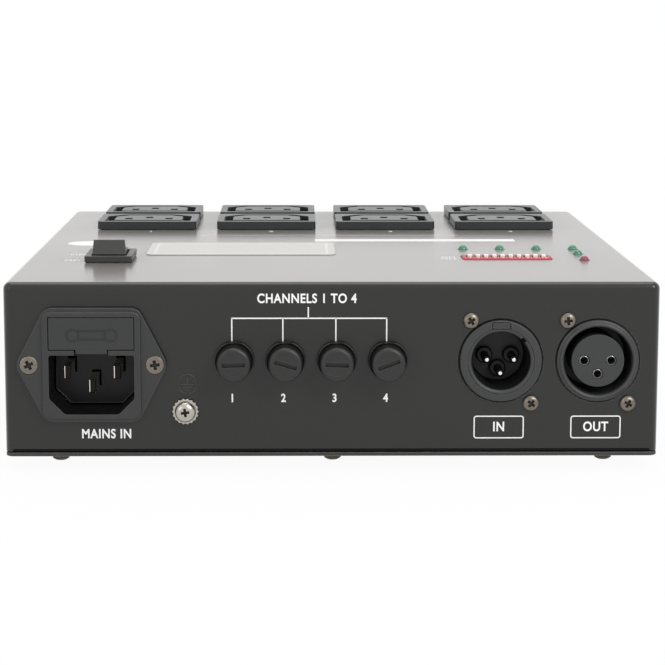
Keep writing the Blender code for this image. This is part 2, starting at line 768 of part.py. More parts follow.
def build_drawer(parent, material, fuse_material):
    """Fuse drawer with two cradles that open upwards, and the fuses in them."""
    place = inlet_place()
    levels = [(INLET_FACE - DRAWER_DEPTH, 0.0), (INLET_FACE, 0.0)]
    top = DRAWER_RISE + DRAWER_HEIGHT / 2
    floor = DRAWER_RISE - DRAWER_HEIGHT / 2 + DRAWER_FLOOR
    room = 2 * (FUSE_RADIUS + FIT_GAP)
    pockets = []
    for _, depth in drawer_cradles():
        low, high = floor, top + FIT_GAP
        middle = (low + high) / 2
        length = FUSE_LENGTH + 2 * FIT_GAP
        pockets.append(block(length, high - low, depth - room / 2, depth + room / 2, 0.0, middle))
    mesh = worked(
        prism(drawer_corners(), FIT_GAP, levels, 1),
        ('UNION', tab_block(INLET_FACE - FIT_GAP / 2, INLET_FACE - TAB_THICKNESS)),
        ('DIFFERENCE', gathered(pockets)),
    )
    piece("fuse_drawer", mesh, material, place, parent)
    across = Matrix.Rotation(math.pi / 2, 4, 'Y') @ Matrix.Translation((0, 0, FUSE_LENGTH / 2))
    lying = placed(fuse_mesh(), across)
    for name, depth in drawer_cradles():
        middle = floor + FIT_GAP + FUSE_RADIUS
        piece(name, lying, fuse_material, (place[0], place[1] + middle, depth), parent)


def build_holder(name, parent, place, material):
    """Panel fuse holder: front ring, barrel, nut and end tag."""
    end = FUSE_FRONT - FUSE_LENGTH - FIT_GAP
    back = end - HOLDER_END
    edge = HOLDER_RING_WALL / 2
    outside = [
        (HOLDER_RADIUS, back),
        (HOLDER_RADIUS, FIT_GAP),
        (RING_RADIUS, FIT_GAP),
        (RING_RADIUS, HOLDER_RING_HEIGHT - edge),
        (RING_RADIUS - edge, HOLDER_RING_HEIGHT),
    ]
    recess_floor = HOLDER_RECESS - FIT_GAP
    bore = [
        (BORE_RADIUS, end),
        (BORE_RADIUS, recess_floor),
        (RECESS_RADIUS, recess_floor),
        (RECESS_RADIUS, HOLDER_RING_HEIGHT + FIT_GAP),
    ]
    nut_radius = HOLDER_NUT_FLATS / 2 / math.cos(math.pi / 6)
    nut_top = BACK_OF_SHEET
    nut = [circle(nut_radius, z, 6, 0.0, 0.0, math.pi / 2) for z in (nut_top - HOLDER_NUT_HEIGHT, nut_top)]
    tag = block(HOLDER_TAG_WIDTH, TAG_THICKNESS, back - TAG_LENGTH, back + TAG_THICKNESS)
    above = HOLDER_RING_HEIGHT + FIT_GAP
    flat = [
        [(-RING_RADIUS, y, z) for y, z in wedge_side(above)],
        [(RING_RADIUS, y, z) for y, z in wedge_side(above)],
    ]
    mesh = worked(
        turned(outside, HOLDER_SIDES),
        ('UNION', skin(nut)),
        ('UNION', tag),
        ('DIFFERENCE', turned(bore, HOLDER_SIDES)),
        ('DIFFERENCE', skin(flat)),
    )
    piece(name, mesh, material, place, parent)


def wedge_side(above):
    """Side view of what is cut off a holder's ring, so that it slopes at its top."""
    over = RING_RADIUS + FIT_GAP
    return [(HOLDER_FLAT_FOOT, FIT_GAP * 2), (HOLDER_FLAT_TOP, above), (over, above), (over, FIT_GAP * 2)]


def build_knob(name, parent, place, turn, material):
    """Slotted bayonet cap whose skirt grips the front of the fuse."""
    pocket = FUSE_RADIUS + FIT_GAP
    skirt = pocket + KNOB_SKIRT_WALL
    seat = HOLDER_RECESS
    profile = [
        (pocket, FUSE_FRONT + FIT_GAP),
        (pocket, -KNOB_SKIRT_LENGTH),
        (skirt, -KNOB_SKIRT_LENGTH),
        (skirt, seat),
        (KNOB_RADIUS, seat),
        (KNOB_RADIUS - KNOB_EDGE / 2, KNOB_PROUD - KNOB_EDGE),
        (KNOB_RADIUS - KNOB_EDGE * 1.5, KNOB_PROUD),
    ]
    slot = block(SLOT_LENGTH, SLOT_WIDTH, KNOB_PROUD - SLOT_DEPTH, KNOB_PROUD + FIT_GAP)
    mesh = worked(turned(profile, HOLDER_SIDES), ('DIFFERENCE', slot))
    piece(name, mesh, material, place, parent, (0.0, 0.0, math.radians(turn)))


def build_fuse_row(parent, holder_material, knob_material, fuse_material):
    """Four holders, each with its fuse and its cap."""
    fuse = fuse_mesh()
    for index, place in enumerate(holder_places()):
        number = index + 1
        build_holder(f"fuse_holder_{number}", parent, place, holder_material)
        piece(f"fuse_{number}", fuse, fuse_material, (place[0], place[1], FUSE_FRONT), parent)
        build_knob(f"fuse_cap_{number}", parent, place, KNOB_TURNS[index % 4], knob_material)


def dmx_plate():
    """Rear flange behind the panel, with its two screw holes on a diagonal."""
    front = BACK_OF_SHEET
    corners = rectangle(DMX_FLANGE_WIDTH, DMX_FLANGE_HEIGHT)
    return prism(corners, DMX_FLANGE_CORNER, [(front - DMX_FLANGE_THICKNESS, 0.0), (front, 0.0)])


def dmx_screw_holes():
    """Tools for the two fixing screws."""
    low, high = BACK_OF_SHEET - DMX_FLANGE_THICKNESS - FIT_GAP, BACK_OF_SHEET + FIT_GAP
    tools = []
    for side in (-1, 1):
        x, y = side * DMX_SCREW_X, -side * DMX_SCREW_Z
        tools.append(rod(DMX_SCREW_HOLE, low, high, SMALL_SIDES, x, y))
    return tools


def dmx_barrel(face):
    """Outside of a socket's shell, from its back to its nose, which ends in a given face."""
    profile = [
        (DMX_BARREL_RADIUS, -DMX_BARREL_DEPTH),
        (DMX_BARREL_RADIUS, BACK_OF_SHEET - DMX_FLANGE_THICKNESS / 2),
        (DMX_NOSE_RADIUS, BACK_OF_SHEET - DMX_FLANGE_THICKNESS / 2),
    ]
    return turned(profile + face, SOCKET_SIDES)


def build_dmx_in(parent, shell_material, insert_material):
    """Input socket: a keyed bore with three pins on a round insert."""
    place = dmx_in_place()
    behind = -DMX_BARREL_DEPTH - FIT_GAP
    above = DMX_NOSE_PROUD + FIT_GAP
    step = DMX_NOSE_PROUD - DMX_IN_RIM_STEP
    bore = [
        (DMX_IN_BORE_RADIUS, behind),
        (DMX_IN_BORE_RADIUS, step),
        (DMX_IN_RIM_RADIUS, step),
        (DMX_IN_RIM_RADIUS, above),
    ]
    floor = DMX_NOSE_PROUD - DMX_IN_CAVITY
    key_length = 2 * DMX_KEY_REACH
    key = block(DMX_KEY_WIDTH, key_length, floor, above, 0.0, DMX_IN_BORE_RADIUS)
    key = placed(key, Matrix.Rotation(math.radians(-DMX_KEY_ANGLE), 4, 'Z'))
    latch_y = (DMX_IN_RIM_RADIUS + DMX_NOSE_RADIUS) / 2
    latch = block(DMX_LATCH_WIDTH, DMX_NOSE_RADIUS - DMX_IN_BORE_RADIUS, step, above, 0.0, latch_y)
    face = [
        (DMX_NOSE_RADIUS, DMX_NOSE_PROUD - DMX_EDGE),
        (DMX_NOSE_RADIUS - DMX_EDGE, DMX_NOSE_PROUD),
    ]
    mesh = worked(
        dmx_barrel(face),
        ('UNION', dmx_plate()),
        ('DIFFERENCE', turned(bore, SOCKET_SIDES)),
        ('DIFFERENCE', key),
        ('DIFFERENCE', latch),
        ('DIFFERENCE', gathered(dmx_screw_holes())),
    )
    piece("dmx_in_shell", mesh, shell_material, place, parent)
    disc_radius = DMX_IN_BORE_RADIUS - FIT_GAP
    pins = []
    bosses = []
    for x, y in pin_circle():
        pins.append(pin_with_tail(x, y, DMX_NOSE_PROUD - DMX_PIN_RECESS))
        bosses.append(rod(DMX_BOSS_RADIUS, floor - FIT_GAP, floor + DMX_BOSS_HEIGHT, SMALL_SIDES, x, y))
    insert = worked(
        rod(disc_radius, -DMX_BARREL_DEPTH, floor, SOCKET_SIDES),
        ('UNION', gathered(bosses)),
        ('UNION', gathered(pins)),
    )
    piece("dmx_in_insert", insert, insert_material, place, parent)


def pin_circle():
    """Places of the three contacts: left, right and below the middle."""
    return [(-DMX_PIN_CIRCLE, 0.0), (DMX_PIN_CIRCLE, 0.0), (0.0, -DMX_PIN_CIRCLE)]


def pin_with_tail(x, y, tip):
    """A round-nosed contact pin that runs through the insert to a solder tail."""
    tail = -DMX_BARREL_DEPTH - DMX_TAIL_LENGTH
    waist = -DMX_BARREL_DEPTH + DMX_TAIL_LENGTH / 3
    profile = [
        (DMX_TAIL_RADIUS, tail),
        (DMX_TAIL_RADIUS, waist),
        (DMX_PIN_RADIUS, waist),
        (DMX_PIN_RADIUS, tip - DMX_PIN_RADIUS),
        (DMX_PIN_RADIUS * 0.8, tip - DMX_PIN_RADIUS * 0.4),
        (DMX_PIN_RADIUS * 0.3, tip),
    ]
    return turned(profile, SMALL_SIDES, x, y)


def build_dmx_out(parent, shell_material, insert_material):
    """Output socket: a beaded ring round a core with three contact holes."""
    place = dmx_out_place()
    behind = -DMX_BARREL_DEPTH - FIT_GAP
    above = DMX_NOSE_PROUD + FIT_GAP
    bore = [(DMX_OUT_BORE_RADIUS, behind), (DMX_OUT_BORE_RADIUS, above + DMX_BEAD_RISE)]
    rim = DMX_NOSE_PROUD - DMX_OUT_RIM_STEP
    face = [
        (DMX_NOSE_RADIUS, rim),
        (DMX_BEAD_RADIUS + DMX_EDGE, rim),
        (DMX_BEAD_RADIUS + DMX_EDGE / 2, DMX_NOSE_PROUD),
        (DMX_BEAD_RADIUS, DMX_NOSE_PROUD + DMX_BEAD_RISE),
        (DMX_OUT_BORE_RADIUS, DMX_NOSE_PROUD - DMX_EDGE / 2),
        (DMX_OUT_BORE_RADIUS - DMX_EDGE, rim),
    ]
    mesh = worked(
        dmx_barrel(face),
        ('UNION', dmx_plate()),
        ('DIFFERENCE', turned(bore, SOCKET_SIDES)),
        ('DIFFERENCE', gathered(dmx_screw_holes())),
    )
    piece("dmx_out_shell", mesh, shell_material, place, parent)
    base_radius = DMX_OUT_BORE_RADIUS - FIT_GAP
    base_top = -DMX_BARREL_DEPTH + DMX_OUT_BASE_DEPTH
    front = DMX_NOSE_PROUD - DMX_OUT_CORE_RECESS
    core = [
        (base_radius, -DMX_BARREL_DEPTH),
        (base_radius, base_top),
        (DMX_OUT_CORE_RADIUS, base_top),
        (DMX_OUT_CORE_RADIUS, front - DMX_EDGE / 2),
        (DMX_OUT_CORE_RADIUS - DMX_EDGE / 2, front),
    ]
    holes = []
    tails = []
    for x, y in pin_circle():
        low = front - DMX_CONTACT_DEPTH
        holes.append(rod(DMX_CONTACT_RADIUS, low, front + FIT_GAP, SMALL_SIDES, x, y))
        tail_end = -DMX_BARREL_DEPTH - DMX_TAIL_LENGTH
        tails.append(rod(DMX_TAIL_RADIUS, tail_end, base_top, SMALL_SIDES, x, y))
    insert = worked(
        turned(core, SOCKET_SIDES),
        ('UNION', gathered(tails)),
        ('DIFFERENCE', gathered(holes)),
    )
    piece("dmx_out_insert", insert, insert_material, place, parent)


def build_earth_screw(parent, material):
    """Pan head screw with a cross recess over a toothed washer."""
    washer_low = FIT_GAP
    washer_top = FIT_GAP + EARTH_WASHER_THICKNESS
    rings = []
    for z in (washer_low, washer_top):
        ring = []
        for index in range(2 * EARTH_TEETH):
            radius = EARTH_WASHER_RADIUS - (index % 2) * EARTH_WASHER_THICKNESS * 0.6
            angle = math.pi * index / EARTH_TEETH
            ring.append((radius * math.cos(angle), radius * math.sin(angle), z))
        rings.append(ring)
    top = washer_top + EARTH_HEAD_HEIGHT
    head = [
        (EARTH_SHANK_RADIUS, -EARTH_SHANK_LENGTH),
        (EARTH_SHANK_RADIUS, washer_low + EARTH_WASHER_THICKNESS / 2),
        (EARTH_HEAD_RADIUS, washer_low + EARTH_WASHER_THICKNESS / 2),
        (EARTH_HEAD_RADIUS, washer_top + EARTH_HEAD_HEIGHT * 0.4),
        (EARTH_HEAD_RADIUS * 0.86, top - EARTH_HEAD_HEIGHT * 0.2),
        (EARTH_HEAD_RADIUS * 0.55, top),
    ]
    arm = EARTH_HEAD_RADIUS * 1.05
    width = EARTH_HEAD_RADIUS * 0.26
    low = top - EARTH_HEAD_HEIGHT * 0.6
    mesh = worked(
        turned(head, HOLDER_SIDES),
        ('UNION', skin(rings)),
        ('DIFFERENCE', block(arm, width, low, top + FIT_GAP)),
        ('DIFFERENCE', block(width, arm, low, top + FIT_GAP)),
    )
    piece("earth_screw", mesh, material, earth_place(), parent)


def outlet_body_size():
    """Width and depth of an outlet's body, which wraps its groove."""
    wall = 2 * (GROOVE_WIDTH + OUTLET_BODY_WALL)
    return ISLAND_WIDTH + wall, ISLAND_DEPTH + wall


def outlet_mesh():
    """Mains outlet: rim, hollow body, and an island with three contact slots."""
    rim = rectangle(OUTLET_WIDTH, OUTLET_DEPTH)
    levels = [(FIT_GAP, 0.0), (OUTLET_RIM - OUTLET_EDGE, 0.0), (OUTLET_RIM, OUTLET_EDGE)]
    width, depth = outlet_body_size()
    body_levels = [(-OUTLET_BODY_HEIGHT, OUTLET_EDGE), (OUTLET_RIM / 2, OUTLET_EDGE)]
    body = rectangle(width + 2 * OUTLET_EDGE, depth + 2 * OUTLET_EDGE)
    island = earthed_outline(ISLAND_WIDTH, ISLAND_DEPTH, ISLAND_CHAMFER, 1)
    low, high = OUTLET_RIM - GROOVE_DEPTH, OUTLET_RIM + FIT_GAP
    groove = [
        rounded(island, OUTLET_EDGE, low, 0.0, 2),
        rounded(island, OUTLET_EDGE, high, 0.0, 2),
        rounded(island, OUTLET_EDGE, high, -GROOVE_WIDTH, 2),
        rounded(island, OUTLET_EDGE, low, -GROOVE_WIDTH, 2),
    ]
    slots = []
    row = -BLADE_RISE
    for x, y in ((-BLADE_SPACING / 2, row), (BLADE_SPACING / 2, row), (0.0, row + BLADE_OFFSET)):
        bottom = OUTLET_RIM - CONTACT_SLOT_DEPTH
        slots.append(block(CONTACT_SLOT_WIDTH, CONTACT_SLOT_LENGTH, bottom, high, x, y))
    return worked(
        prism(rim, OUTLET_CORNER, levels, 2),
        ('UNION', prism(body, OUTLET_CORNER, body_levels, 1)),
        ('DIFFERENCE', skin(groove, True)),
        ('DIFFERENCE', gathered(slots)),
    )


def build_outlets(parent, material):
    """Two rows of four outlets that snap into the lid."""
    mesh = outlet_mesh()
    for index, place in enumerate(outlet_places()):
        piece(f"outlet_{index + 1}", mesh, material, place, parent)


def switch_well_size():
    """Width and length of the well that the rocker tips in."""
    length = 2 * (ROCKER_HALF_LENGTH + ROCKER_END_CLEARANCE)
    return ROCKER_WIDTH + 2 * FIT_GAP, length


def switch_body_size():
    """Width and length of the switch body, which wraps its well."""
    width, length = switch_well_size()
    return width + 2 * SWITCH_BODY_WALL, length + 2 * SWITCH_BODY_WALL


def build_switch(parent, body_material, rocker_material):
    """Power switch: a bezel and body with a well, and a rocker on two trunnions."""
    place = switch_place()
    bezel = rectangle(SWITCH_WIDTH, SWITCH_LENGTH)
    edge = SWITCH_CORNER / 2
    levels = [(FIT_GAP, 0.0), (SWITCH_BEZEL - edge, 0.0), (SWITCH_BEZEL, edge)]
    width, length = switch_body_size()
    well_width, well_length = switch_well_size()
    socket = rod(TRUNNION_RADIUS + FIT_GAP, -width / 2, width / 2)
    socket = placed(socket, Matrix.Rotation(math.pi / 2, 4, 'Y'))
    tags = []
    for side in (-1, 1):
        low = -SWITCH_BODY_HEIGHT - SWITCH_TAG_LENGTH
        high = -SWITCH_BODY_HEIGHT + TAG_THICKNESS
        tags.append(block(SWITCH_TAG_WIDTH, TAG_THICKNESS, low, high, 0.0, side * length / 4))
    mesh = worked(
        prism(bezel, SWITCH_CORNER, levels, 2),
        ('UNION', block(width, length, -SWITCH_BODY_HEIGHT, SWITCH_BEZEL / 2)),
        ('UNION', gathered(tags)),
        ('DIFFERENCE', block(well_width, well_length, -SWITCH_POCKET, SWITCH_BEZEL + FIT_GAP)),
        ('DIFFERENCE', socket),
    )
    piece("power_switch_body", mesh, body_material, place, parent)
    tilt = (-math.radians(ROCKER_TILT), 0.0, 0.0)
    piece("power_rocker", rocker_mesh(), rocker_material, place, parent, tilt)


def rocker_mesh():
    """Rocker in its level position: two faces that meet in a shallow valley."""
    lift = ROCKER_HALF_LENGTH * math.tan(math.radians(ROCKER_TILT))
    end_top = ROCKER_HALF_LENGTH - ROCKER_TAPER
    side = [
        (-end_top, ROCKER_RISE + lift),
        (-ROCKER_HALF_LENGTH, FIT_GAP),
        (-ROCKER_HUB, -ROCKER_HUB / 2),
        (-ROCKER_HUB / 2, -ROCKER_HUB),
        (ROCKER_HUB / 2, -ROCKER_HUB),
        (ROCKER_HUB, -ROCKER_HUB / 2),
        (ROCKER_HALF_LENGTH, FIT_GAP),
        (end_top, ROCKER_RISE + lift),
        (0.0, ROCKER_RISE),
    ]
    rings = []
    for direction in (-1, 1):
        ring = []
        for y, z in side:
            drawn_in = ROCKER_TAPER if z > FIT_GAP else 0.0
            ring.append((direction * (ROCKER_WIDTH / 2 - drawn_in), y, z))
        rings.append(ring)
    reach = ROCKER_WIDTH / 2 + TRUNNION_LENGTH
    axle = rod(TRUNNION_RADIUS, -reach, reach)
    axle = placed(axle, Matrix.Rotation(math.pi / 2, 4, 'Y'))
    return worked(skin(rings), ('UNION', axle))


def build_dip(parent, body_material, slider_material):
    """Address switch: a red body with ten slots, and a slider in each."""
    place = dip_place()
    top = DIP_PROUD
    edge = FIT_GAP
    body = rectangle(DIP_WIDTH, DIP_LENGTH)
    levels = [(top - DIP_HEIGHT, 0.0), (top - edge, 0.0), (top, edge)]
    slots = []
    for x, _, _ in slider_places():
        low, high = top - DIP_SLOT_DEPTH, top + FIT_GAP
        slots.append(block(DIP_SLOT_WIDTH, DIP_SLOT_LENGTH, low, high, x - place[0]))
    mesh = worked(prism(body, edge, levels, 1), ('DIFFERENCE', gathered(slots)))
    piece("dip_switch_body", mesh, body_material, place, parent)
    low = top - DIP_SLOT_DEPTH + FIT_GAP
    high = top + SLIDER_PROUD
    chamfer = SLIDER_WIDTH / 6
    stub = prism(
        rectangle(SLIDER_WIDTH, SLIDER_LENGTH),
        chamfer,
        [(low, 0.0), (high - chamfer, 0.0), (high, chamfer)],
        1,
    )
    for index, slot in enumerate(slider_places()):
        piece(f"dip_slider_{index + 1}", stub, slider_material, slot, parent)


def build_leds(parent, green, red):
    """Round lamps on spacers, with their domes just through the lid."""
    collar_top = -SHEET - FIT_GAP
    dome_start = LED_PROUD - LED_RADIUS
    profile = [
        (LED_SPACER_RADIUS, CONTROL_BOARD_TOP + FIT_GAP),
        (LED_SPACER_RADIUS, collar_top - LED_COLLAR_HEIGHT),
        (LED_COLLAR_RADIUS, collar_top - LED_COLLAR_HEIGHT),
        (LED_COLLAR_RADIUS, collar_top),
        (LED_RADIUS, collar_top),
    ]
    for step in range(3):
        angle = math.radians(35 * step)
        radius = LED_RADIUS * math.cos(angle)
        profile.append((radius, dome_start + LED_RADIUS * math.sin(angle)))
    mesh = turned(profile)
    names = ["led_channel_1", "led_channel_2", "led_channel_3", "led_channel_4"]
    names += ["led_signal", "led_power"]
    for name, place in zip(names, led_places()):
        piece(name, mesh, red if name == "led_power" else green, place, parent)


def build_control_board(parent, material):
    """Control board under the lid, with its chip and plug header below."""
    x, y, _ = control_board_place()
    low = CONTROL_BOARD_TOP - BOARD_THICKNESS
    overlap = BOARD_THICKNESS / 2
    chip = block(CHIP_WIDTH, CHIP_LENGTH, low - CHIP_HEIGHT, low + overlap)
    header_y = CONTROL_BOARD_LENGTH / 2 - 2 * HEADER_LENGTH
    header = block(HEADER_WIDTH, HEADER_LENGTH, low - HEADER_HEIGHT, low + overlap, 0.0, header_y)
    mesh = worked(
        block(CONTROL_BOARD_WIDTH, CONTROL_BOARD_LENGTH, low, CONTROL_BOARD_TOP),
        ('UNION', gathered([chip, header])),
    )
    piece("control_board", mesh, material, (x, y, 0.0), parent)


def build_relay_board(material):
    """Mains board on the floor's pillars: one relay and one snubber a channel."""
    low = FLOOR_Z + FLOOR_SHEET + RELAY_BOARD_LIFT + FIT_GAP
    top = BOARD_THICKNESS
    tall = []
    for index in range(RELAY_COUNT):
        x = RELAY_PITCH * (index - (RELAY_COUNT - 1) / 2)
        tall.append(block(RELAY_WIDTH, RELAY_LENGTH, top / 2, top + RELAY_HEIGHT, x, 0.0))
        y = -RELAY_LENGTH / 2 - SNUBBER_GAP
        tall.append(rod(SNUBBER_RADIUS, top / 2, top + SNUBBER_HEIGHT, SMALL_SIDES, x, y))
    row = RELAY_LENGTH / 2 + SNUBBER_GAP
    strip = RELAY_PITCH * (RELAY_COUNT - 1)
    tall.append(block(strip, TERMINAL_DEPTH, top / 2, top + TERMINAL_HEIGHT, 0.0, row))
    mesh = worked(
        block(RELAY_BOARD_WIDTH, RELAY_BOARD_LENGTH, 0.0, BOARD_THICKNESS),
        ('UNION', gathered(tall)),
    )
    piece("relay_board", mesh, material, (0.0, FRONT_Y + RELAY_BOARD_FROM_FRONT, low))


def build_transformer(material):
    """Small supply transformer in front of the outlets: core, wound coil and bracket."""
    low = FLOOR_Z + FLOOR_SHEET + FIT_GAP
    x = CASE_WIDTH / 2 - TRANSFORMER_FROM_SIDE
    foot = CORE_WIDTH + 2 * BRACKET_FOOT
    outlets_start = outlet_places()[0][1] - outlet_body_size()[1] / 2
    y = outlets_start - TRANSFORMER_CLEARANCE - foot / 2
    middle = BRACKET_THICKNESS + CORE_HEIGHT / 2
    coil = rectangle(COIL_WIDTH, COIL_DEPTH)
    half = COIL_HEIGHT / 2
    coil_levels = [(middle - half, 0.0), (middle + half, 0.0)]
    mesh = worked(
        block(CORE_WIDTH, CORE_DEPTH, BRACKET_THICKNESS / 2, BRACKET_THICKNESS + CORE_HEIGHT),
        ('UNION', prism(coil, COIL_WIDTH / 5, coil_levels, 4)),
        ('UNION', block(foot, CORE_DEPTH * 0.8, 0.0, BRACKET_THICKNESS)),
    )
    piece("transformer", mesh, material, (x, FRONT_Y + y, low), None, (0.0, 0.0, math.pi / 2))


def clear_scene():
    """Take every object out of the scene."""
    for item in list(bpy.data.objects):
        bpy.data.objects.remove(item)


def build():
    """Model the whole pack."""
    clear_scene()
    upright = Matrix.Rotation(math.pi / 2, 4, 'X')
    panel = guide("connector_panel", Matrix.Translation((0, FRONT_Y, COVER_Z)) @ upright)
    lid = guide("lid", Matrix.Translation((0, FRONT_Y, TOP_Z)))
    paint = finish("black_paint", (0.030, 0.030, 0.029), 0.42)
    moulded = finish("moulded_black", (0.030, 0.031, 0.032), 0.5)
    rubber = finish("foot_rubber", (0.015, 0.015, 0.015), 0.85)
    bright = finish("bright_steel", (0.72, 0.70, 0.66), 0.3, 1.0)
    glass = finish("fuse_glass", (0.62, 0.66, 0.66), 0.15)
    red_plastic = finish("dip_red", (0.58, 0.045, 0.06), 0.45)
    white_plastic = finish("slider_white", (0.86, 0.86, 0.84), 0.45)
    green_lens = finish("green_lens", (0.04, 0.30, 0.14), 0.2)
    red_lens = finish("red_lens", (0.34, 0.03, 0.05), 0.2)
    board = finish("circuit_board", (0.05, 0.22, 0.10), 0.5)
    laminate = finish("transformer_iron", (0.16, 0.15, 0.14), 0.55, 0.6)
    build_cover(paint)
    build_floor(paint)
    build_feet(rubber)
    build_inlet(panel, moulded, bright)
    build_drawer(panel, moulded, glass)
    build_fuse_row(panel, moulded, moulded, glass)
    build_dmx_in(panel, moulded, moulded)
    build_dmx_out(panel, moulded, moulded)
    build_earth_screw(panel, bright)
    build_outlets(lid, moulded)
    build_switch(lid, moulded, moulded)
    build_dip(lid, red_plastic, white_plastic)
    build_leds(lid, green_lens, red_lens)
    build_control_board(lid, board)
    build_relay_board(board)
    build_transformer(laminate)


build()
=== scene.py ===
"""The look of a four channel switch pack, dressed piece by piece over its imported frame."""
import math

import bmesh
import bpy
from mathutils import Matrix, Vector


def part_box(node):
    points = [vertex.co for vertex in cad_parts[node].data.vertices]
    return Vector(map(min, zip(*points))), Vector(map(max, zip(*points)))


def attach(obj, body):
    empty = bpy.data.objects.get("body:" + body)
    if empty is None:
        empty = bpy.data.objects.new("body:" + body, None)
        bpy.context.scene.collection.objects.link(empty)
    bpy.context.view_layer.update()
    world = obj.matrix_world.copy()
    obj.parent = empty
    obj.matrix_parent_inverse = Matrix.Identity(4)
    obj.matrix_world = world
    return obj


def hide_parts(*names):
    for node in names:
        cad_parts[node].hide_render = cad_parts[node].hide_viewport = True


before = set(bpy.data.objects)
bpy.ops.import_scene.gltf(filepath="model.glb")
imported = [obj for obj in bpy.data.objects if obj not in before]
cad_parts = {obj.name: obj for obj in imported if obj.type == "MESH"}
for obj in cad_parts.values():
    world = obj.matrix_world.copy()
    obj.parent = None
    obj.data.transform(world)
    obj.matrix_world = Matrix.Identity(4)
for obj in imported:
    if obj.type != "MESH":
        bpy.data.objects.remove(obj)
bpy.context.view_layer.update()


# Studio. The pack stands on a white sweep, as in a catalogue photograph: a camera just above
# its connector panel, soft lamps in front and overhead, and white all round to show in the gloss.
CAMERA_PLACE = (-0.01015, -0.7151, 0.1344)
CAMERA_PITCH = 8.72
CAMERA_YAW = 0.95
CAMERA_ROLL = 0.10
CAMERA_LENS = 119.0
SENSOR = 36.0
NEAREST = 0.01
FARTHEST = 50.0
SOFT_BOXES = {
    "lamp_front_right": ((0.75, -1.10, 0.95), (0.0, -0.08, 0.03), 0.55, 9.0),
    "lamp_front_left": ((-0.95, -1.20, 0.55), (0.0, -0.08, 0.03), 0.60, 1.6),
    "lamp_overhead": ((0.0, 0.10, 1.40), (0.0, 0.0, 0.03), 0.90, 5.0),
}

camera = bpy.data.objects.new("camera", bpy.data.cameras.new("camera"))
bpy.context.collection.objects.link(camera)
camera.data.lens = CAMERA_LENS
camera.data.sensor_width = SENSOR
camera.data.clip_start = NEAREST
camera.data.clip_end = FARTHEST
camera.matrix_world = (
    Matrix.Translation(CAMERA_PLACE)
    @ Matrix.Rotation(math.radians(-CAMERA_YAW), 4, 'Z')
    @ Matrix.Rotation(math.radians(90 - CAMERA_PITCH), 4, 'X')
    @ Matrix.Rotation(math.radians(CAMERA_ROLL), 4, 'Z')
)
bpy.context.scene.camera = camera
bpy.context.scene.view_settings.view_transform = 'Standard'
for name, (place, aim, size, power) in SOFT_BOXES.items():
    lamp = bpy.data.objects.new(name, bpy.data.lights.new(name, 'AREA'))
    bpy.context.collection.objects.link(lamp)
    lamp.data.size = size
    lamp.data.energy = power
    lamp.location = place
    lamp.rotation_euler = (Vector(aim) - Vector(place)).to_track_quat('-Z', 'Y').to_euler()


def feed(tree, node, given):
    """Set a node's sockets to values, or link them to the outputs of other nodes."""
    for key, value in given.items():
        if isinstance(value, bpy.types.NodeSocket):
            tree.links.new(value, node.inputs[key])
        else:
            node.inputs[key].default_value = value


def put(tree, kind, given=None, **settings):
    """Add a shader node with its settings, and feed its sockets."""
    node = tree.nodes.new('ShaderNode' + kind)
    for name, value in settings.items():
        setattr(node, name, value)
    feed(tree, node, given or {})
    return node


def compute(tree, operation, *terms):
    """The result of a Math node over values and the outputs of other nodes."""
    return put(tree, 'Math', dict(enumerate(terms)), operation=operation).outputs[0]


def is_seen_directly(tree):
    """A socket that is 1 for what the camera sees, in itself, in a reflection or through glass."""
    path = put(tree, 'LightPath').outputs
    total = path['Is Camera Ray']
    for name in ('Is Glossy Ray', 'Is Transmission Ray'):
        total = compute(tree, 'MAXIMUM', total, path[name])
    return total


SURROUND_LIGHT = 0.62
world = bpy.data.worlds.new("white_surround")
world.use_nodes = True
bpy.context.scene.world = world
tree = world.node_tree
level = put(tree, 'MapRange', {'Value': is_seen_directly(tree), 'To Min': SURROUND_LIGHT, 'To Max': 1.0})
feed(tree, tree.nodes['Background'], {'Color': (1.0, 1.0, 1.0, 1.0), 'Strength': level.outputs['Result']})

FLOOR_SIZE = 12.0
PAPER_WHITE = (0.90, 0.90, 0.90, 1.0)
PAPER_ROUGHNESS = 0.9
SHADOW_CORE = 0.10
SHADOW_REACH = 0.45
SHADOW_SHARE = 0.05
bpy.ops.object.select_all(action='DESELECT')
bpy.ops.mesh.primitive_plane_add(size=FLOOR_SIZE, location=(0, 0, 0))
sweep = bpy.context.object
sweep.name = "white_sweep"
sweep_white = bpy.data.materials.new("sweep_white")
sweep_white.use_nodes = True
tree = sweep_white.node_tree
paper = tree.nodes['Principled BSDF']
feed(tree, paper, {'Base Color': PAPER_WHITE, 'Roughness': PAPER_ROUGHNESS, 'Specular IOR Level': 0.0})
clean = put(tree, 'Emission', {'Strength': 1.0})
distance = put(tree, 'VectorMath', {0: put(tree, 'TexCoord').outputs['Object']}, operation='LENGTH')
fade = put(tree, 'MapRange', {
    'Value': distance.outputs['Value'], 'From Min': SHADOW_CORE, 'From Max': SHADOW_REACH,
    'To Min': 1.0 - SHADOW_SHARE, 'To Max': 1.0}, interpolation_type='SMOOTHSTEP')
only_seen = compute(tree, 'MULTIPLY', fade.outputs['Result'], is_seen_directly(tree))
blend = put(tree, 'MixShader', {'Fac': only_seen, 1: paper.outputs['BSDF'], 2: clean.outputs['Emission']})
feed(tree, tree.nodes['Material Output'], {'Surface': blend.outputs['Shader']})
sweep.data.materials.append(sweep_white)


# Case cover. Lid, connector panel, sides and rear are one steel sheet, folded, welded at the
# corners and powder coated satin black; its lower edges turn inwards over the floor plate.
SHEET = 0.0012
CORNER_BEND = 0.0024
LID_BEND = 0.0020
LOWER_BEND = 0.0012
FLANGE = 0.012
FIT_GAP = 0.0003

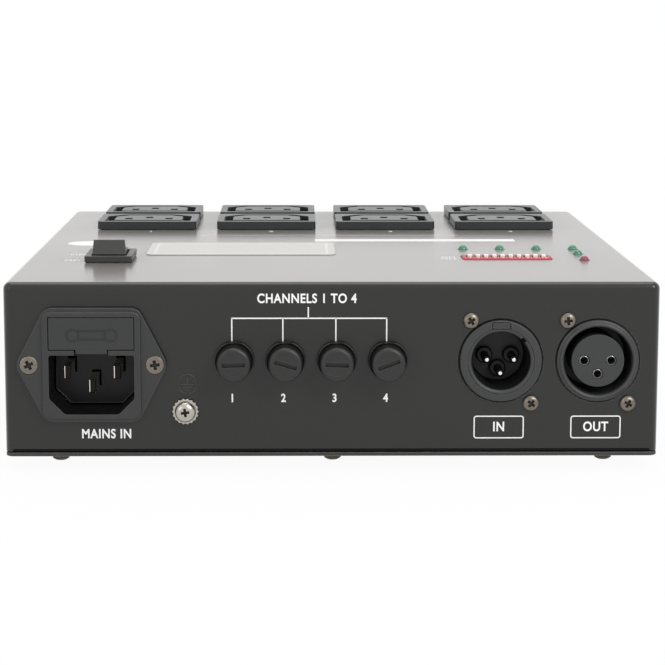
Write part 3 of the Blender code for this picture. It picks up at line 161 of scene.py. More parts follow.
cover_low, cover_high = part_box("top_cover")
PANEL_Y = cover_low.y
PANEL_FOOT = cover_low.z
LID_Z = cover_high.z
TINY = 0.00001
MERGE = TINY / 10
FACING = 0.9
OUTWARDS = Vector((0, -1, 0))
UPWARDS = Vector((0, 0, 1))
DOWNWARDS = Vector((0, 0, -1))


def begin(name, add, **sizes):
    """Add a primitive by itself, and put its place and size into its mesh."""
    bpy.ops.object.select_all(action='DESELECT')
    add(**sizes)
    made = bpy.context.object
    made.name = made.data.name = name
    bpy.ops.object.transform_apply(location=True, rotation=True, scale=True)
    return made


def begin_box(name, low, high):
    """A box between two corners, to be worked on."""
    low, high = Vector(low), Vector(high)
    return begin(name, bpy.ops.mesh.primitive_cube_add, size=1, location=(low + high) / 2, scale=high - low)


def box_about(name, place, half, bottom, top):
    """A box about an upright line through a point, by its half sizes and two heights."""
    x, y, z = place
    return begin_box(name, (x - half[0], y - half[1], z + bottom), (x + half[0], y + half[1], z + top))


def on_panel(x, up, out=0.0):
    """A point on the connector panel, or in front of it."""
    return Vector((x, PANEL_Y - out, PANEL_FOOT + up))


def panel_box(name, x, up, half, back, front):
    """A box about a point of the connector panel, by its half sizes and its reach outwards."""
    low = on_panel(x - half[0], up - half[1], front)
    return begin_box(name, low, on_panel(x + half[0], up + half[1], back))


def panel_of(node):
    """The middle of a node on the connector panel, as x and height over the panel's foot."""
    low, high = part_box(node)
    centre = (low + high) / 2
    return centre.x, centre.z - PANEL_FOOT


def lid_middle(node):
    """The point of the lid at the middle of a node."""
    low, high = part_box(node)
    return (low.x + high.x) / 2, (low.y + high.y) / 2, LID_Z


def hold(piece):
    """Make a piece the only selected one, ready for an operator."""
    bpy.ops.object.select_all(action='DESELECT')
    piece.select_set(True)
    bpy.context.view_layer.objects.active = piece


def edit(piece):
    """Open a piece in edit mode."""
    hold(piece)
    bpy.ops.object.mode_set(mode='EDIT')


def middle(item):
    """The middle of an edge or a face."""
    return sum((point.co for point in item.verts), Vector()) / len(item.verts)


def along(edge, axis):
    """True where an edge runs along an axis, 0, 1 or 2."""
    run = edge.verts[1].co - edge.verts[0].co
    return abs(run[axis]) > 0.999 * run.length


def pick(piece, kind, wanted):
    """In edit mode, select only the faces, edges or points that pass a test."""
    bpy.ops.mesh.select_mode(type=kind)
    bpy.ops.mesh.select_all(action='DESELECT')
    shape = bmesh.from_edit_mesh(piece.data)
    for item in {'FACE': shape.faces, 'EDGE': shape.edges, 'VERT': shape.verts}[kind]:
        if wanted(item):
            item.select_set(True)
    shape.select_flush_mode()
    bmesh.update_edit_mesh(piece.data)


def bevel(piece, kind, wanted, width, segments=3):
    """Round or chamfer the edges of a piece that pass a test, or those of its faces that do."""
    edit(piece)
    pick(piece, kind, wanted)
    bpy.ops.mesh.bevel(offset=width, segments=segments, affect='EDGES')
    bpy.ops.object.mode_set(mode='OBJECT')


def round_along(piece, axis, radius, segments=6):
    """Round the edges of a piece that run along an axis."""
    bevel(piece, 'EDGE', lambda e: along(e, axis), radius, segments)


def add_step(piece, kind, **settings):
    """Add a modifier with its settings and apply it."""
    hold(piece)
    step = piece.modifiers.new(kind.lower(), kind)
    for name, value in settings.items():
        setattr(step, name, value)
    bpy.ops.object.modifier_apply(modifier=step.name)


def combine(piece, operation, others):
    """Join others to a piece, or take them out of it, and put them away."""
    for other in others:
        add_step(piece, 'BOOLEAN', operation=operation, solver='EXACT', object=other)
        bpy.data.objects.remove(other)


def cut(piece, *tools):
    """Cut tools out of a piece."""
    combine(piece, 'DIFFERENCE', tools)


def weld(piece, *others):
    """Make one body of a piece and others that reach into it."""
    combine(piece, 'UNION', others)


def join(name, parts):
    """Make one object of several parts that lie side by side."""
    hold(parts[0])
    for part in parts[1:]:
        part.select_set(True)
    bpy.ops.object.join()
    parts[0].name = parts[0].data.name = name
    return parts[0]


def soften(piece, width, segments=3, angle=30):
    """Round the edges of a piece that are sharper than an angle."""
    add_step(piece, 'BEVEL', width=width, segments=segments, limit_method='ANGLE',
             angle_limit=math.radians(angle), use_clamp_overlap=True, miter_outer='MITER_ARC')


def mark(piece, wanted):
    """Note the faces of a shape that take its second material."""
    for face in piece.data.polygons:
        face.material_index = int(wanted(face))


def dress(piece, material, body="root", stands_for=(), second=None, angle=40):
    """Shade a finished piece smooth but for its sharp edges, with its flats kept flat, give it
    its material, or two, and tie it to the frame."""
    if angle:
        hold(piece)
        bpy.ops.object.shade_smooth_by_angle(angle=math.radians(angle))
        add_step(piece, 'WEIGHTED_NORMAL', keep_sharp=True)
    marks = [face.material_index if second else 0 for face in piece.data.polygons]
    piece.data.materials.clear()
    piece.data.materials.append(material)
    if second:
        piece.data.materials.append(second)
    for face, index in zip(piece.data.polygons, marks):
        face.material_index = index
    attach(piece, body)
    if stands_for:
        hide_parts(*stands_for)


def turned(name, place, direction, rings, sides=96):
    """A turned piece along a direction, from rings of radius and distance.
    It is open along its axis where the last ring is the first one again."""
    place, direction = Vector(place), Vector(direction)
    radius, reach = rings[0]
    made = begin(name, bpy.ops.mesh.primitive_circle_add, vertices=sides, radius=radius,
                 fill_type='NOTHING' if rings[0] == rings[-1] else 'NGON',
                 location=place + direction * reach, rotation=direction.to_track_quat('Z', 'Y').to_euler())
    bpy.ops.object.mode_set(mode='EDIT')
    bpy.ops.mesh.select_mode(type='VERT')
    bpy.ops.mesh.select_all(action='SELECT')
    for next_radius, next_reach in rings[1:]:
        shift = direction * (next_reach - reach)
        centre = place + direction * next_reach
        bpy.ops.mesh.extrude_region_move(TRANSFORM_OT_translate={"value": shift})
        bpy.ops.transform.resize(value=(next_radius / radius,) * 3, center_override=centre)
        radius, reach = next_radius, next_reach
    bpy.ops.mesh.select_all(action='SELECT')
    bpy.ops.mesh.remove_doubles(threshold=MERGE)
    bpy.ops.mesh.normals_make_consistent(inside=False)
    bpy.ops.object.mode_set(mode='OBJECT')
    return made


def rod(radius, start, end):
    """The rings of a plain cylinder."""
    return [(radius, start), (radius, end)]


def turned_out(name, x, up, rings, sides=96):
    """A turned piece that points out of the connector panel."""
    return turned(name, on_panel(x, up), OUTWARDS, rings, sides)


def new_group(name, inputs, outputs):
    """An empty shader group with its sockets: for colours where the value is a tuple."""
    group = bpy.data.node_groups.new(name, 'ShaderNodeTree')
    for way, sockets in (('INPUT', inputs), ('OUTPUT', outputs)):
        for label, value in sockets.items():
            kind = 'NodeSocketColor' if isinstance(value, tuple) else 'NodeSocketFloat'
            group.interface.new_socket(name=label, in_out=way, socket_type=kind).default_value = value
    return group, group.nodes.new('NodeGroupInput').outputs, group.nodes.new('NodeGroupOutput')


def make_grain_group():
    """Fine grain of a coated or moulded surface: colour, roughness and height from noise."""
    grey = (0.5, 0.5, 0.5, 1.0)
    group, given, result = new_group(
        "surface_grain",
        {"Colour": grey, "Roughness": 0.5, "Grain Scale": 2500.0, "Cloud Scale": 35.0,
         "Colour Spread": 0.15, "Roughness Spread": 0.12},
        {"Colour": grey, "Roughness": 0.5, "Height": 0.5})
    where = put(group, 'TexCoord').outputs['Object']
    grain, cloud = (
        put(group, 'TexNoise', {'Vector': where, 'Scale': given[scale], 'Detail': detail}).outputs['Fac']
        for scale, detail in (("Grain Scale", 2.0), ("Cloud Scale", 4.0)))
    centred = compute(group, 'SUBTRACT', compute(group, 'ADD', grain, cloud), 1.0)
    shade = compute(group, 'MULTIPLY_ADD', centred, given["Colour Spread"], 1.0)
    tone = put(group, 'VectorMath', {0: given["Colour"], 'Scale': shade}, operation='SCALE')
    gloss = compute(group, 'MULTIPLY_ADD', centred, given["Roughness Spread"], given["Roughness"])
    feed(group, result, {"Colour": tone.outputs['Vector'], "Roughness": gloss, "Height": grain})
    return group


def make_wear_group():
    """Painted edge highlight: where edges turn sharply, the colour goes over to a paler one, in patches."""
    flat, sharp = 0.995, 0.85
    patchy = {'From Min': 0.30, 'From Max': 0.70, 'To Min': 0.35}
    group, given, result = new_group(
        "painted_edge_highlight",
        {"Colour": (0.5, 0.5, 0.5, 1.0), "Highlight Colour": (0.6, 0.6, 0.6, 1.0), "Width": 0.0004,
         "Amount": 0.5, "Break Scale": 400.0},
        {"Colour": (0.5, 0.5, 0.5, 1.0), "Mask": 0.5})
    rounded = put(group, 'Bevel', {'Radius': given["Width"]}, samples=4)
    shape = put(group, 'NewGeometry')
    agree = put(group, 'VectorMath', {0: rounded.outputs['Normal'], 1: shape.outputs['Normal']},
                operation='DOT_PRODUCT')
    edge = put(group, 'MapRange', {'Value': agree.outputs['Value'], 'From Min': flat, 'From Max': sharp})
    patches = put(group, 'TexNoise', {
        'Vector': put(group, 'TexCoord').outputs['Object'], 'Scale': given["Break Scale"], 'Detail': 3.0})
    uneven = put(group, 'MapRange', {'Value': patches.outputs['Fac'], **patchy})
    both = compute(group, 'MULTIPLY', edge.outputs['Result'], uneven.outputs['Result'])
    mask = compute(group, 'MULTIPLY', both, given["Amount"])
    mixed = put(group, 'Mix', {0: mask, 6: given["Colour"], 7: given["Highlight Colour"]}, data_type='RGBA')
    feed(group, result, {"Colour": mixed.outputs[2], "Mask": mask})
    return group


# The first group is the surfaces' own grain; the second paints a paler highlight along sharp edges.
surface_grain = make_grain_group()
painted_edge_highlight = make_wear_group()


def finish(name, colour, roughness, scales=(2500.0, 35.0), spreads=(0.15, 0.12), relief=(0.05, 0.00002),
           highlight_colour=None, highlight_spread=(0.5, 0.0004), **fixed):
    """A material with grain, and with a painted highlight along its sharp edges if it is given a highlight
    colour.
    Scales are those of grain and clouds, spreads those of colour and roughness, relief the strength and depth
    of the grain, and the last pair the painted highlight's amount and width."""
    material = bpy.data.materials.new(name)
    material.use_nodes = True
    tree = material.node_tree
    skin = put(tree, 'Group', {
        "Colour": (*colour, 1.0), "Roughness": roughness, "Grain Scale": scales[0], "Cloud Scale": scales[1],
        "Colour Spread": spreads[0], "Roughness Spread": spreads[1]}, node_tree=surface_grain).outputs
    last_colour = skin["Colour"]
    if highlight_colour:
        last_colour = put(tree, 'Group', {
            "Colour": last_colour, "Highlight Colour": (*highlight_colour, 1.0), "Amount": highlight_spread[0], "Width": highlight_spread[1]},
            node_tree=painted_edge_highlight).outputs["Colour"]
    bump = put(tree, 'Bump', {'Strength': relief[0], 'Distance': relief[1], 'Height': skin["Height"]})
    feed(tree, tree.nodes['Principled BSDF'], {
        'Base Color': last_colour, 'Roughness': skin["Roughness"], 'Normal': bump.outputs['Normal'],
        **{socket.replace("_", " "): value for socket, value in fixed.items()}})
    return material


black_paint = finish("satin_black_paint", (0.016, 0.016, 0.0150), 0.24, (2600.0, 22.0), (0.30, 0.08),
                     (0.12, 0.00002), highlight_colour=(0.06, 0.06, 0.058), highlight_spread=(0.5, 0.0005), IOR=1.33,
                     Sheen_Weight=0.40, Sheen_Roughness=0.35, Sheen_Tint=(1.0, 0.97, 0.90, 1.0),
                     Coat_Weight=0.72, Coat_Roughness=0.18, Coat_IOR=1.33)
# Painted shade: a near-black copy of the paint for the lower bend, where the gap over the floor plate is in
# shade.
fold_painted_shade = finish("painted_shade_fold", (0.003, 0.003, 0.003), 0.7, (2600.0, 22.0), (0.3, 0.12),
                    Specular_IOR_Level=0.15)
cover = begin_box("case_cover", cover_low, cover_high)
round_along(cover, 2, CORNER_BEND)
bevel(cover, 'EDGE', lambda e: all(v.co.z > LID_Z - TINY for v in e.verts), LID_BEND, 6)
straight = (cover_high.x - cover_low.x) / 2
bevel(cover, 'EDGE', lambda e: middle(e).z < PANEL_FOOT + TINY and e.calc_length() > straight and along(e, 0),
      LOWER_BEND, 4)
edit(cover)
for y in (cover_low.y + FLANGE, cover_high.y - FLANGE):
    pick(cover, 'FACE', lambda f: all(v.co.z < PANEL_FOOT + TINY for v in f.verts))
    bpy.ops.mesh.bisect(plane_co=(0, y, PANEL_FOOT), plane_no=(0, 1, 0))
pick(cover, 'FACE', lambda f: middle(f).z < PANEL_FOOT + TINY and abs(middle(f).y - cover_low.y) > FLANGE
     and abs(middle(f).y - cover_high.y) > FLANGE)
bpy.ops.mesh.delete(type='FACE')
bpy.ops.object.mode_set(mode='OBJECT')
add_step(cover, 'SOLIDIFY', thickness=SHEET, offset=-1.0, use_even_offset=True)

INLET_HOLE = (0.0137, 0.0149)
HOLDER_HOLE = 0.0051
SOCKET_HOLE = 0.0122
EARTH_HOLE = 0.0022
OUTLET_HOLE = (0.0160, 0.01235)
SWITCH_HOLE = (0.0069, 0.0098)
DIP_HOLE = (0.01395, 0.00525)
LAMP_HOLE = 0.0018
CUT_DEPTH = 0.004
LAMPS = ("led_channel_1", "led_channel_2", "led_channel_3", "led_channel_4", "led_signal", "led_power")


def round_tool(place, direction, radius, depth=CUT_DEPTH, sides=64):
    """A round tool through a sheet."""
    return turned("tool", place, direction, rod(radius, -depth, depth), sides)


inlet_x, inlet_up = panel_of("inlet_body")
holes = [panel_box("tool", inlet_x, inlet_up, INLET_HOLE, -CUT_DEPTH, CUT_DEPTH)]
round_holes = [(f"fuse_holder_{number}", HOLDER_HOLE, 64) for number in range(1, 5)]
round_holes += [("dmx_in_shell", SOCKET_HOLE, 96), ("dmx_out_shell", SOCKET_HOLE, 96),
                ("earth_screw", EARTH_HOLE, 64)]
for node, radius, sides in round_holes:
    holes.append(round_tool(on_panel(*panel_of(node)), OUTWARDS, radius, sides=sides))
square_holes = [(f"outlet_{number}", OUTLET_HOLE) for number in range(1, 9)]
square_holes += [("power_switch_body", SWITCH_HOLE), ("dip_switch_body", DIP_HOLE)]
for node, half in square_holes:
    holes.append(box_about("tool", lid_middle(node), half, -CUT_DEPTH, CUT_DEPTH))
for node in LAMPS:
    holes.append(round_tool(lid_middle(node), UPWARDS, LAMP_HOLE, sides=32))
cut(cover, join("tool", holes))
# The faces of the lower bend take the painted shade.
mark(cover, lambda f: f.center.z < PANEL_FOOT + LOWER_BEND * 0.75)
dress(cover, black_paint, stands_for=["top_cover"], second=fold_painted_shade)


# Floor plate. A flat sheet of the same coated steel closes the case from below. Six pan head
# screws run through it into the cover's flanges, three along the front and three along the rear.
PLATE_CORNER = 0.0024
PLATE_EDGE = 0.00035
FLOOR_SCREWS = (-0.0780, 0.0002, 0.0784)
FLOOR_SCREW_INSET = 0.0072
FLOOR_HEAD_RADIUS = 0.0026
FLOOR_HEAD_RISE = 0.0022

plate_paint = finish("floor_plate_paint", (0.024, 0.024, 0.023), 0.38, (2600.0, 25.0), (0.30, 0.12),
                     (0.25, 0.00003), highlight_colour=(0.16, 0.16, 0.155), highlight_spread=(0.9, 0.0006))
low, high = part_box("bottom_plate")
plate = begin_box("floor_plate", low, (high.x, high.y, low.z + SHEET))
round_along(plate, 2, PLATE_CORNER)
soften(plate, PLATE_EDGE, 2)
dress(plate, plate_paint, stands_for=["bottom_plate"])

# Painted shade: near black for the inside of the screws' cross recesses.
recess_painted_shade = finish("recess_painted_shade", (0.010, 0.010, 0.010), 0.6, (1500.0, 300.0))
screw_nickel = finish("aged_nickel", (0.20, 0.175, 0.145), 0.36, (1800.0, 260.0), (0.55, 0.25),
                      (0.15, 0.00003), highlight_colour=(0.50, 0.46, 0.40), highlight_spread=(0.8, 0.00025), Metallic=1.0)
# Painted shade: a darker copy of the nickel for the floor screws, which sit in shade under the case.
nickel_painted_shade = finish("nickel_painted_shade", (0.085, 0.072, 0.058), 0.55, (1800.0, 260.0), (0.5, 0.12),
                       Metallic=1.0)


def cross_screw(head, arm=0.62, arm_width=0.17, arm_depth=0.55):
    """A round screw head with a cross recess, standing on the origin and looking up.
    The head is given as rings of radius and height; the recess as shares of its size."""
    screw = turned("screw", (0, 0, 0), UPWARDS, head, 48)
    radius = max(ring[0] for ring in head)
    top = max(ring[1] for ring in head)
    depth = (top - head[0][1]) * arm_depth
    reach, half_width = arm * radius, arm_width * radius
    for half, taper in (((reach, half_width), (0.55, 0.9, 1)), ((half_width, reach), (0.9, 0.55, 1))):
        tool = box_about("tool", (0, 0, top), half, -depth, depth)
        edit(tool)
        pick(tool, 'FACE', lambda f: f.normal.z < -FACING)
        bpy.ops.transform.resize(value=taper, center_override=(0, 0, top - depth))
        bpy.ops.object.mode_set(mode='OBJECT')
        cut(screw, tool)
    # The recess's walls and floor are marked for the painted shade.
    mark(screw, lambda f: math.hypot(f.center.x, f.center.y) < arm * radius
         and (abs(f.normal.z) < 0.5 or f.center.z < top - depth * 0.9))
    soften(screw, radius * 0.035, 2, 35)
    return screw


def settle(piece, matrix):
    """Move a piece by a matrix that goes into its mesh."""
    piece.matrix_world = matrix
    hold(piece)
    bpy.ops.object.transform_apply(location=True, rotation=True, scale=True)


def copy_to(model, name, place, direction, spin=0.0):
    """A separate copy of a modelled piece, turned about its axis and set at its place."""
    made = model.copy()
    made.data = model.data.copy()
    made.name = made.data.name = name
    bpy.context.collection.objects.link(made)
    across = Vector((1, 0, 0))
    facing = Matrix((across, direction.cross(across), direction)).transposed().to_4x4()
    settle(made, Matrix.Translation(place) @ facing @ Matrix.Rotation(math.radians(spin), 4, 'Z'))
    return made


def drive(screw, places, material=screw_nickel):
    """Dressed copies of a screw at its places, each with name, point, direction and turn."""
    for place in places:
        dress(copy_to(screw, *place), material, second=recess_painted_shade)
    bpy.data.objects.remove(screw)


drive(cross_screw([
    (FLOOR_HEAD_RADIUS, 0.0),
    (FLOOR_HEAD_RADIUS, FLOOR_HEAD_RISE * 0.45),
    (FLOOR_HEAD_RADIUS * 0.9, FLOOR_HEAD_RISE * 0.8),
    (FLOOR_HEAD_RADIUS * 0.6, FLOOR_HEAD_RISE),
]), [
    (f"floor_screw_{end}_{index + 1}", (x, y, low.z), DOWNWARDS, 25.0 + 37.0 * index)
    for index, x in enumerate(FLOOR_SCREWS)
    for end, y in (("front", low.y + FLOOR_SCREW_INSET), ("rear", high.y - FLOOR_SCREW_INSET))
], nickel_painted_shade)


# Feet. Four turned rubber feet, each pulled up against the floor plate by a screw that sits
# deep in the foot's pocket.
FOOT_NODES = ("foot_front_left", "foot_front_right", "foot_rear_right", "foot_rear_left")
FOOT_POCKET = 0.0036
FOOT_POCKET_DEPTH = 0.0022
FOOT_POCKET_EDGE = 0.0004
FOOT_SCREW_TURN = 20.0

foot_rubber = finish("foot_rubber", (0.018, 0.018, 0.018), 0.75, (3200.0, 120.0), (0.35, 0.12),
                     (0.4, 0.00004), highlight_colour=(0.05, 0.05, 0.05), highlight_spread=(0.6, 0.0004))
foot_screw = cross_screw([(0.0026, 0.0), (0.0026, 0.0005), (0.0022, 0.0011), (0.0014, 0.0014)])
for node in FOOT_NODES:
    low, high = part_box(node)
    x, y, radius, height = (low.x + high.x) / 2, (low.y + high.y) / 2, (high.x - low.x) / 2, high.z - low.z
    foot = turned(node + "_rubber", (x, y, high.z), DOWNWARDS, [
        (radius, 0.0),
        (radius, height * 0.2),
        (radius - 0.0009, height * 0.80),
        (radius - 0.0015, height * 0.94),
        (radius - 0.0024, height),
        (FOOT_POCKET + FOOT_POCKET_EDGE, height),
        (FOOT_POCKET, height - FOOT_POCKET_EDGE),
        (FOOT_POCKET, height - FOOT_POCKET_DEPTH),
    ], 64)
    dress(foot, foot_rubber, stands_for=[node])
    screw = copy_to(foot_screw, node + "_screw", (x, y, FOOT_POCKET_DEPTH), DOWNWARDS, FOOT_SCREW_TURN)
    dress(screw, screw_nickel, second=recess_painted_shade)
bpy.data.objects.remove(foot_screw)


# Fused mains inlet. One black moulding: a six-sided flange on the panel, a raised frame, the
# cavity for the mains connector and the slot over it that the fuse drawer slides into.
INLET_FLANGE = 0.0020
INLET_RISE = 0.0010
INLET_FACE = INLET_FLANGE + INLET_RISE
INLET_TIP = 0.02165
INLET_FLAT = 0.0133
INLET_HALF = 0.01635
INLET_CORNER = 0.0021
INLET_EDGE = 0.00035
FRAME_HALF = (0.0140, 0.0153)
FRAME_CORNER = 0.0022
FRAME_EDGE = 0.0005
BODY_HALF = (0.0134, 0.0146)
BODY_DEPTH = 0.0240
CAVITY_HALF = (0.01205, 0.00845)
CAVITY_DROP = 0.0055
CAVITY_CHAMFER = 0.0045
CAVITY_DEPTH = 0.0168
DRAWER_HALF = (0.0119, 0.00445)
DRAWER_UP = 0.0091
DRAWER_DEPTH = 0.0205
TAB_HALF = 0.00455
TAB_DEPTH = 0.0026
PIN_HALF = (0.0010, 0.0020)
PIN_PLACES = {"inlet_pin_live": (-0.0070, -0.0022), "inlet_pin_neutral": (0.0070, -0.0022),
              "inlet_pin_earth": (0.0, -0.0062)}
INLET_SCREW_REACH = 0.0178
SCREW_BORE = [(0.0014, -CUT_DEPTH), (0.0014, INLET_FLANGE - 0.0018), (0.0027, INLET_FLANGE - 0.0007),
              (0.0027, INLET_FLANGE + CUT_DEPTH)]

moulded_black = finish("moulded_black", (0.024, 0.0245, 0.0245), 0.42, (1500.0, 60.0), (0.25, 0.15),
                       (0.18, 0.00003), highlight_colour=(0.075, 0.076, 0.078), highlight_spread=(0.75, 0.0005),
                       Specular_IOR_Level=0.5)
# Painted shade: a much darker copy of the moulding's black for the inside of the cavity and the slots over
# it.
cavity_painted_shade = finish("cavity_painted_shade", (0.0025, 0.0025, 0.003), 0.32, (1500.0, 60.0), (0.3, 0.12),
                      (0.15, 0.00003), Specular_IOR_Level=0.3)


def inlet_box(name, half, back, front, x=0.0, up=0.0):
    """A box on the inlet, about a point given from the inlet's middle."""
    return panel_box(name, inlet_x + x, inlet_up + up, half, back, front)


inlet = inlet_box("inlet_moulding", (INLET_FLAT, INLET_HALF), FIT_GAP, INLET_FLANGE)
edit(inlet)
bpy.ops.mesh.select_all(action='SELECT')
bpy.ops.mesh.bisect(plane_co=on_panel(inlet_x, inlet_up), plane_no=(0, 0, 1))
for side in (-1, 1):
    tip = on_panel(inlet_x + side * INLET_FLAT, inlet_up)
    pick(inlet, 'VERT', lambda v: abs(v.co.x - tip.x) < TINY and abs(v.co.z - tip.z) < TINY)
    bpy.ops.transform.translate(value=(side * (INLET_TIP - INLET_FLAT), 0, 0))
pick(inlet, 'EDGE', lambda e: along(e, 1))
bpy.ops.mesh.bevel(offset=INLET_CORNER, segments=8, affect='EDGES')
for facing in (-1, 1):
    pick(inlet, 'FACE', lambda f: f.normal.y * facing > FACING)
    bpy.ops.mesh.dissolve_faces()
bpy.ops.object.mode_set(mode='OBJECT')
bevel(inlet, 'FACE', lambda f: f.normal.y < -FACING, INLET_EDGE)

raised = inlet_box("raised_frame", FRAME_HALF, FIT_GAP * 2, INLET_FACE)
round_along(raised, 1, FRAME_CORNER)
bevel(raised, 'FACE', lambda f: f.normal.y < -FACING, FRAME_EDGE)
weld(inlet, raised, inlet_box("inlet_behind", BODY_HALF, -BODY_DEPTH, INLET_FLANGE / 2))

cavity = inlet_box("tool", CAVITY_HALF, INLET_FACE - CAVITY_DEPTH, INLET_FACE + CUT_DEPTH, 0.0, -CAVITY_DROP)
bevel(cavity, 'EDGE', lambda e: along(e, 1) and middle(e).z < on_panel(0, inlet_up - CAVITY_DROP).z,
      CAVITY_CHAMFER, 1)
soften(cavity, 0.0006, 3)
drawer_slot = inlet_box("tool", (DRAWER_HALF[0] + FIT_GAP, DRAWER_HALF[1] + FIT_GAP),
                        INLET_FACE - DRAWER_DEPTH - FIT_GAP, INLET_FACE + CUT_DEPTH, 0.0, DRAWER_UP)
tab_low = CAVITY_HALF[1] - CAVITY_DROP - FIT_GAP
tab_slot = inlet_box("tool", (TAB_HALF + FIT_GAP, (DRAWER_UP - tab_low) / 2),
                     INLET_FACE - TAB_DEPTH - FIT_GAP, INLET_FACE + CUT_DEPTH, 0.0, (DRAWER_UP + tab_low) / 2)
cut(inlet, cavity, drawer_slot, tab_slot)
for x, up in PIN_PLACES.values():
    cut(inlet, inlet_box("tool", (PIN_HALF[0] + FIT_GAP, PIN_HALF[1] + FIT_GAP), -BODY_DEPTH - CUT_DEPTH,
                         INLET_FACE - CAVITY_DEPTH + CUT_DEPTH / 4, x, up))
for side in (-1, 1):
    cut(inlet, turned_out("tool", inlet_x + side * INLET_SCREW_REACH, inlet_up, SCREW_BORE, 48))
soften(inlet, 0.00018, 2, 50)
# Faces inside the cavity and the slots take the painted shade.
mark(inlet, lambda f: abs(f.center.x - inlet_x) < CAVITY_HALF[0] + 2 * FIT_GAP
     and abs(f.center.z - on_panel(0, inlet_up).z) < FRAME_HALF[1] - FIT_GAP
     and on_panel(0, 0, INLET_FLANGE - TINY).y < f.center.y < PANEL_Y + CAVITY_DEPTH)
dress(inlet, moulded_black, stands_for=["inlet_body"], second=cavity_painted_shade)


# Fuse drawer. It slides into the slot over the cavity, with a raised fuse sign on its front and
# a tab that can only be reached with the connector out. It holds one fuse in use and one spare.
DRAWER_EDGE = 0.0003
DRAWER_FLOOR = 0.0012
DRAWER_END = 0.0013
DRAWER_FRONT = 0.0036
CRADLE = 0.0058
FUSE_LENGTH = 0.0200
FUSE_RADIUS = 0.0026
SIGN_RISE = 0.0002
SIGN_ENDS = (-0.0052, 0.0055)
SIGN_END_RADIUS = 0.0019
SIGN_UP = 0.0087
SIGN_LINE = 0.0004
SIGN_HALF_GAP = 0.0012

drawer_black = finish("drawer_black", (0.023, 0.0235, 0.0245), 0.45, (1500.0, 70.0), (0.25, 0.15),
                      (0.2, 0.00003), highlight_colour=(0.085, 0.086, 0.088), highlight_spread=(0.8, 0.0004))
sign_shade = finish("sign_shade", (0.013, 0.0135, 0.014), 0.50, (1500.0, 70.0))
drawer = inlet_box("drawer_moulding", (DRAWER_HALF[0] + FIT_GAP / 2, DRAWER_HALF[1] + FIT_GAP / 2),
                   INLET_FACE - DRAWER_DEPTH, INLET_FACE, 0.0, DRAWER_UP)
soften(drawer, DRAWER_EDGE, 3)
tab_foot = CAVITY_HALF[1] - CAVITY_DROP + FIT_GAP
tab = inlet_box("drawer_tab", (TAB_HALF, (DRAWER_UP - tab_foot) / 2), INLET_FACE - TAB_DEPTH,
                INLET_FACE - SIGN_RISE, 0.0, (DRAWER_UP + tab_foot) / 2)
soften(tab, DRAWER_EDGE, 3)
weld(drawer, tab)
cradle_low = DRAWER_UP - DRAWER_HALF[1] + DRAWER_FLOOR
cradle_half = (DRAWER_UP + DRAWER_HALF[1] + SIGN_RISE - cradle_low) / 2
for back in (INLET_FACE - DRAWER_DEPTH + DRAWER_END, INLET_FACE - DRAWER_FRONT - CRADLE):
    cut(drawer, inlet_box("tool", (FUSE_LENGTH / 2 + FIT_GAP, cradle_half), back, back + CRADLE, 0.0,
                          cradle_low + cradle_half))
dress(drawer, drawer_black, "fuse_drawer", ["fuse_drawer"])


def tube(outer, inner, start, end):
    """The rings of a plain tube."""
    return [(outer, start), (outer, end), (inner, end), (inner, start), (outer, start)]


sign_parts = []
for x in SIGN_ENDS:
    sign_parts.append(turned("sign_end", on_panel(inlet_x + x, inlet_up + SIGN_UP, INLET_FACE), OUTWARDS,
                             tube(SIGN_END_RADIUS, SIGN_END_RADIUS - SIGN_LINE, 0.0, SIGN_RISE), 32))
sign_half = (SIGN_ENDS[1] - SIGN_ENDS[0]) / 2 - SIGN_END_RADIUS * 0.8
for side in (-1, 1):
    sign_parts.append(inlet_box("sign_line", (sign_half, SIGN_LINE / 2), INLET_FACE, INLET_FACE + SIGN_RISE,
                                sum(SIGN_ENDS) / 2, SIGN_UP + side * SIGN_HALF_GAP))
sign = join("drawer_sign", sign_parts)
soften(sign, 0.00004, 2)
dress(sign, sign_shade, "fuse_drawer")


# Cartridge fuses. Two in the drawer and one in each panel holder: a glass tube with a fine wire
# in it, and a pressed nickel cap over each end.
FUSE_CAP = 0.0055
FUSE_CAP_EDGE = 0.0004
FUSE_CAP_WALL = 0.0006
GLASS_OUTSIDE = 0.0023
GLASS_INSIDE = 0.0018
WIRE_RADIUS = 0.00012

cap_nickel = finish("fuse_cap_nickel", (0.66, 0.65, 0.62), 0.26, (900.0, 140.0), (0.18, 0.2),
                    (0.1, 0.00002), Metallic=1.0)
tube_glass = finish("fuse_tube_glass", (0.90, 0.95, 0.94), 0.06, (500.0, 90.0), (0.03, 0.05),
                    (0.02, 0.00001), Transmission_Weight=0.92, IOR=1.47)


def build_fuse(node, direction, body):
    """A fuse along a direction, about the middle of its node."""
    centre = sum(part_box(node), Vector()) / 2
    half = FUSE_LENGTH / 2
    glass_end = half - FUSE_CAP * 0.3
    glass = turned(node + "_glass", centre, direction,
                   tube(GLASS_OUTSIDE, GLASS_INSIDE, -glass_end, glass_end), 32)
    dress(glass, tube_glass, body, [node])
    ends = [turned("wire", centre, direction, rod(WIRE_RADIUS, -half * 0.9, half * 0.9), 8)]
    for side in (-1, 1):
        ends.append(turned("end", centre, direction * side, [
            (GLASS_OUTSIDE, half - FUSE_CAP),
            (FUSE_RADIUS, half - FUSE_CAP),
            (FUSE_RADIUS, half - FUSE_CAP_EDGE),
            (FUSE_RADIUS - FUSE_CAP_EDGE, half),
            (FUSE_RADIUS * 0.25, half),
            (FUSE_RADIUS * 0.25, half - FUSE_CAP_WALL),
            (GLASS_OUTSIDE, half - FUSE_CAP_WALL),
            (GLASS_OUTSIDE, half - FUSE_CAP),
        ], 32))
    dress(join(node + "_metal", ends), cap_nickel, body)


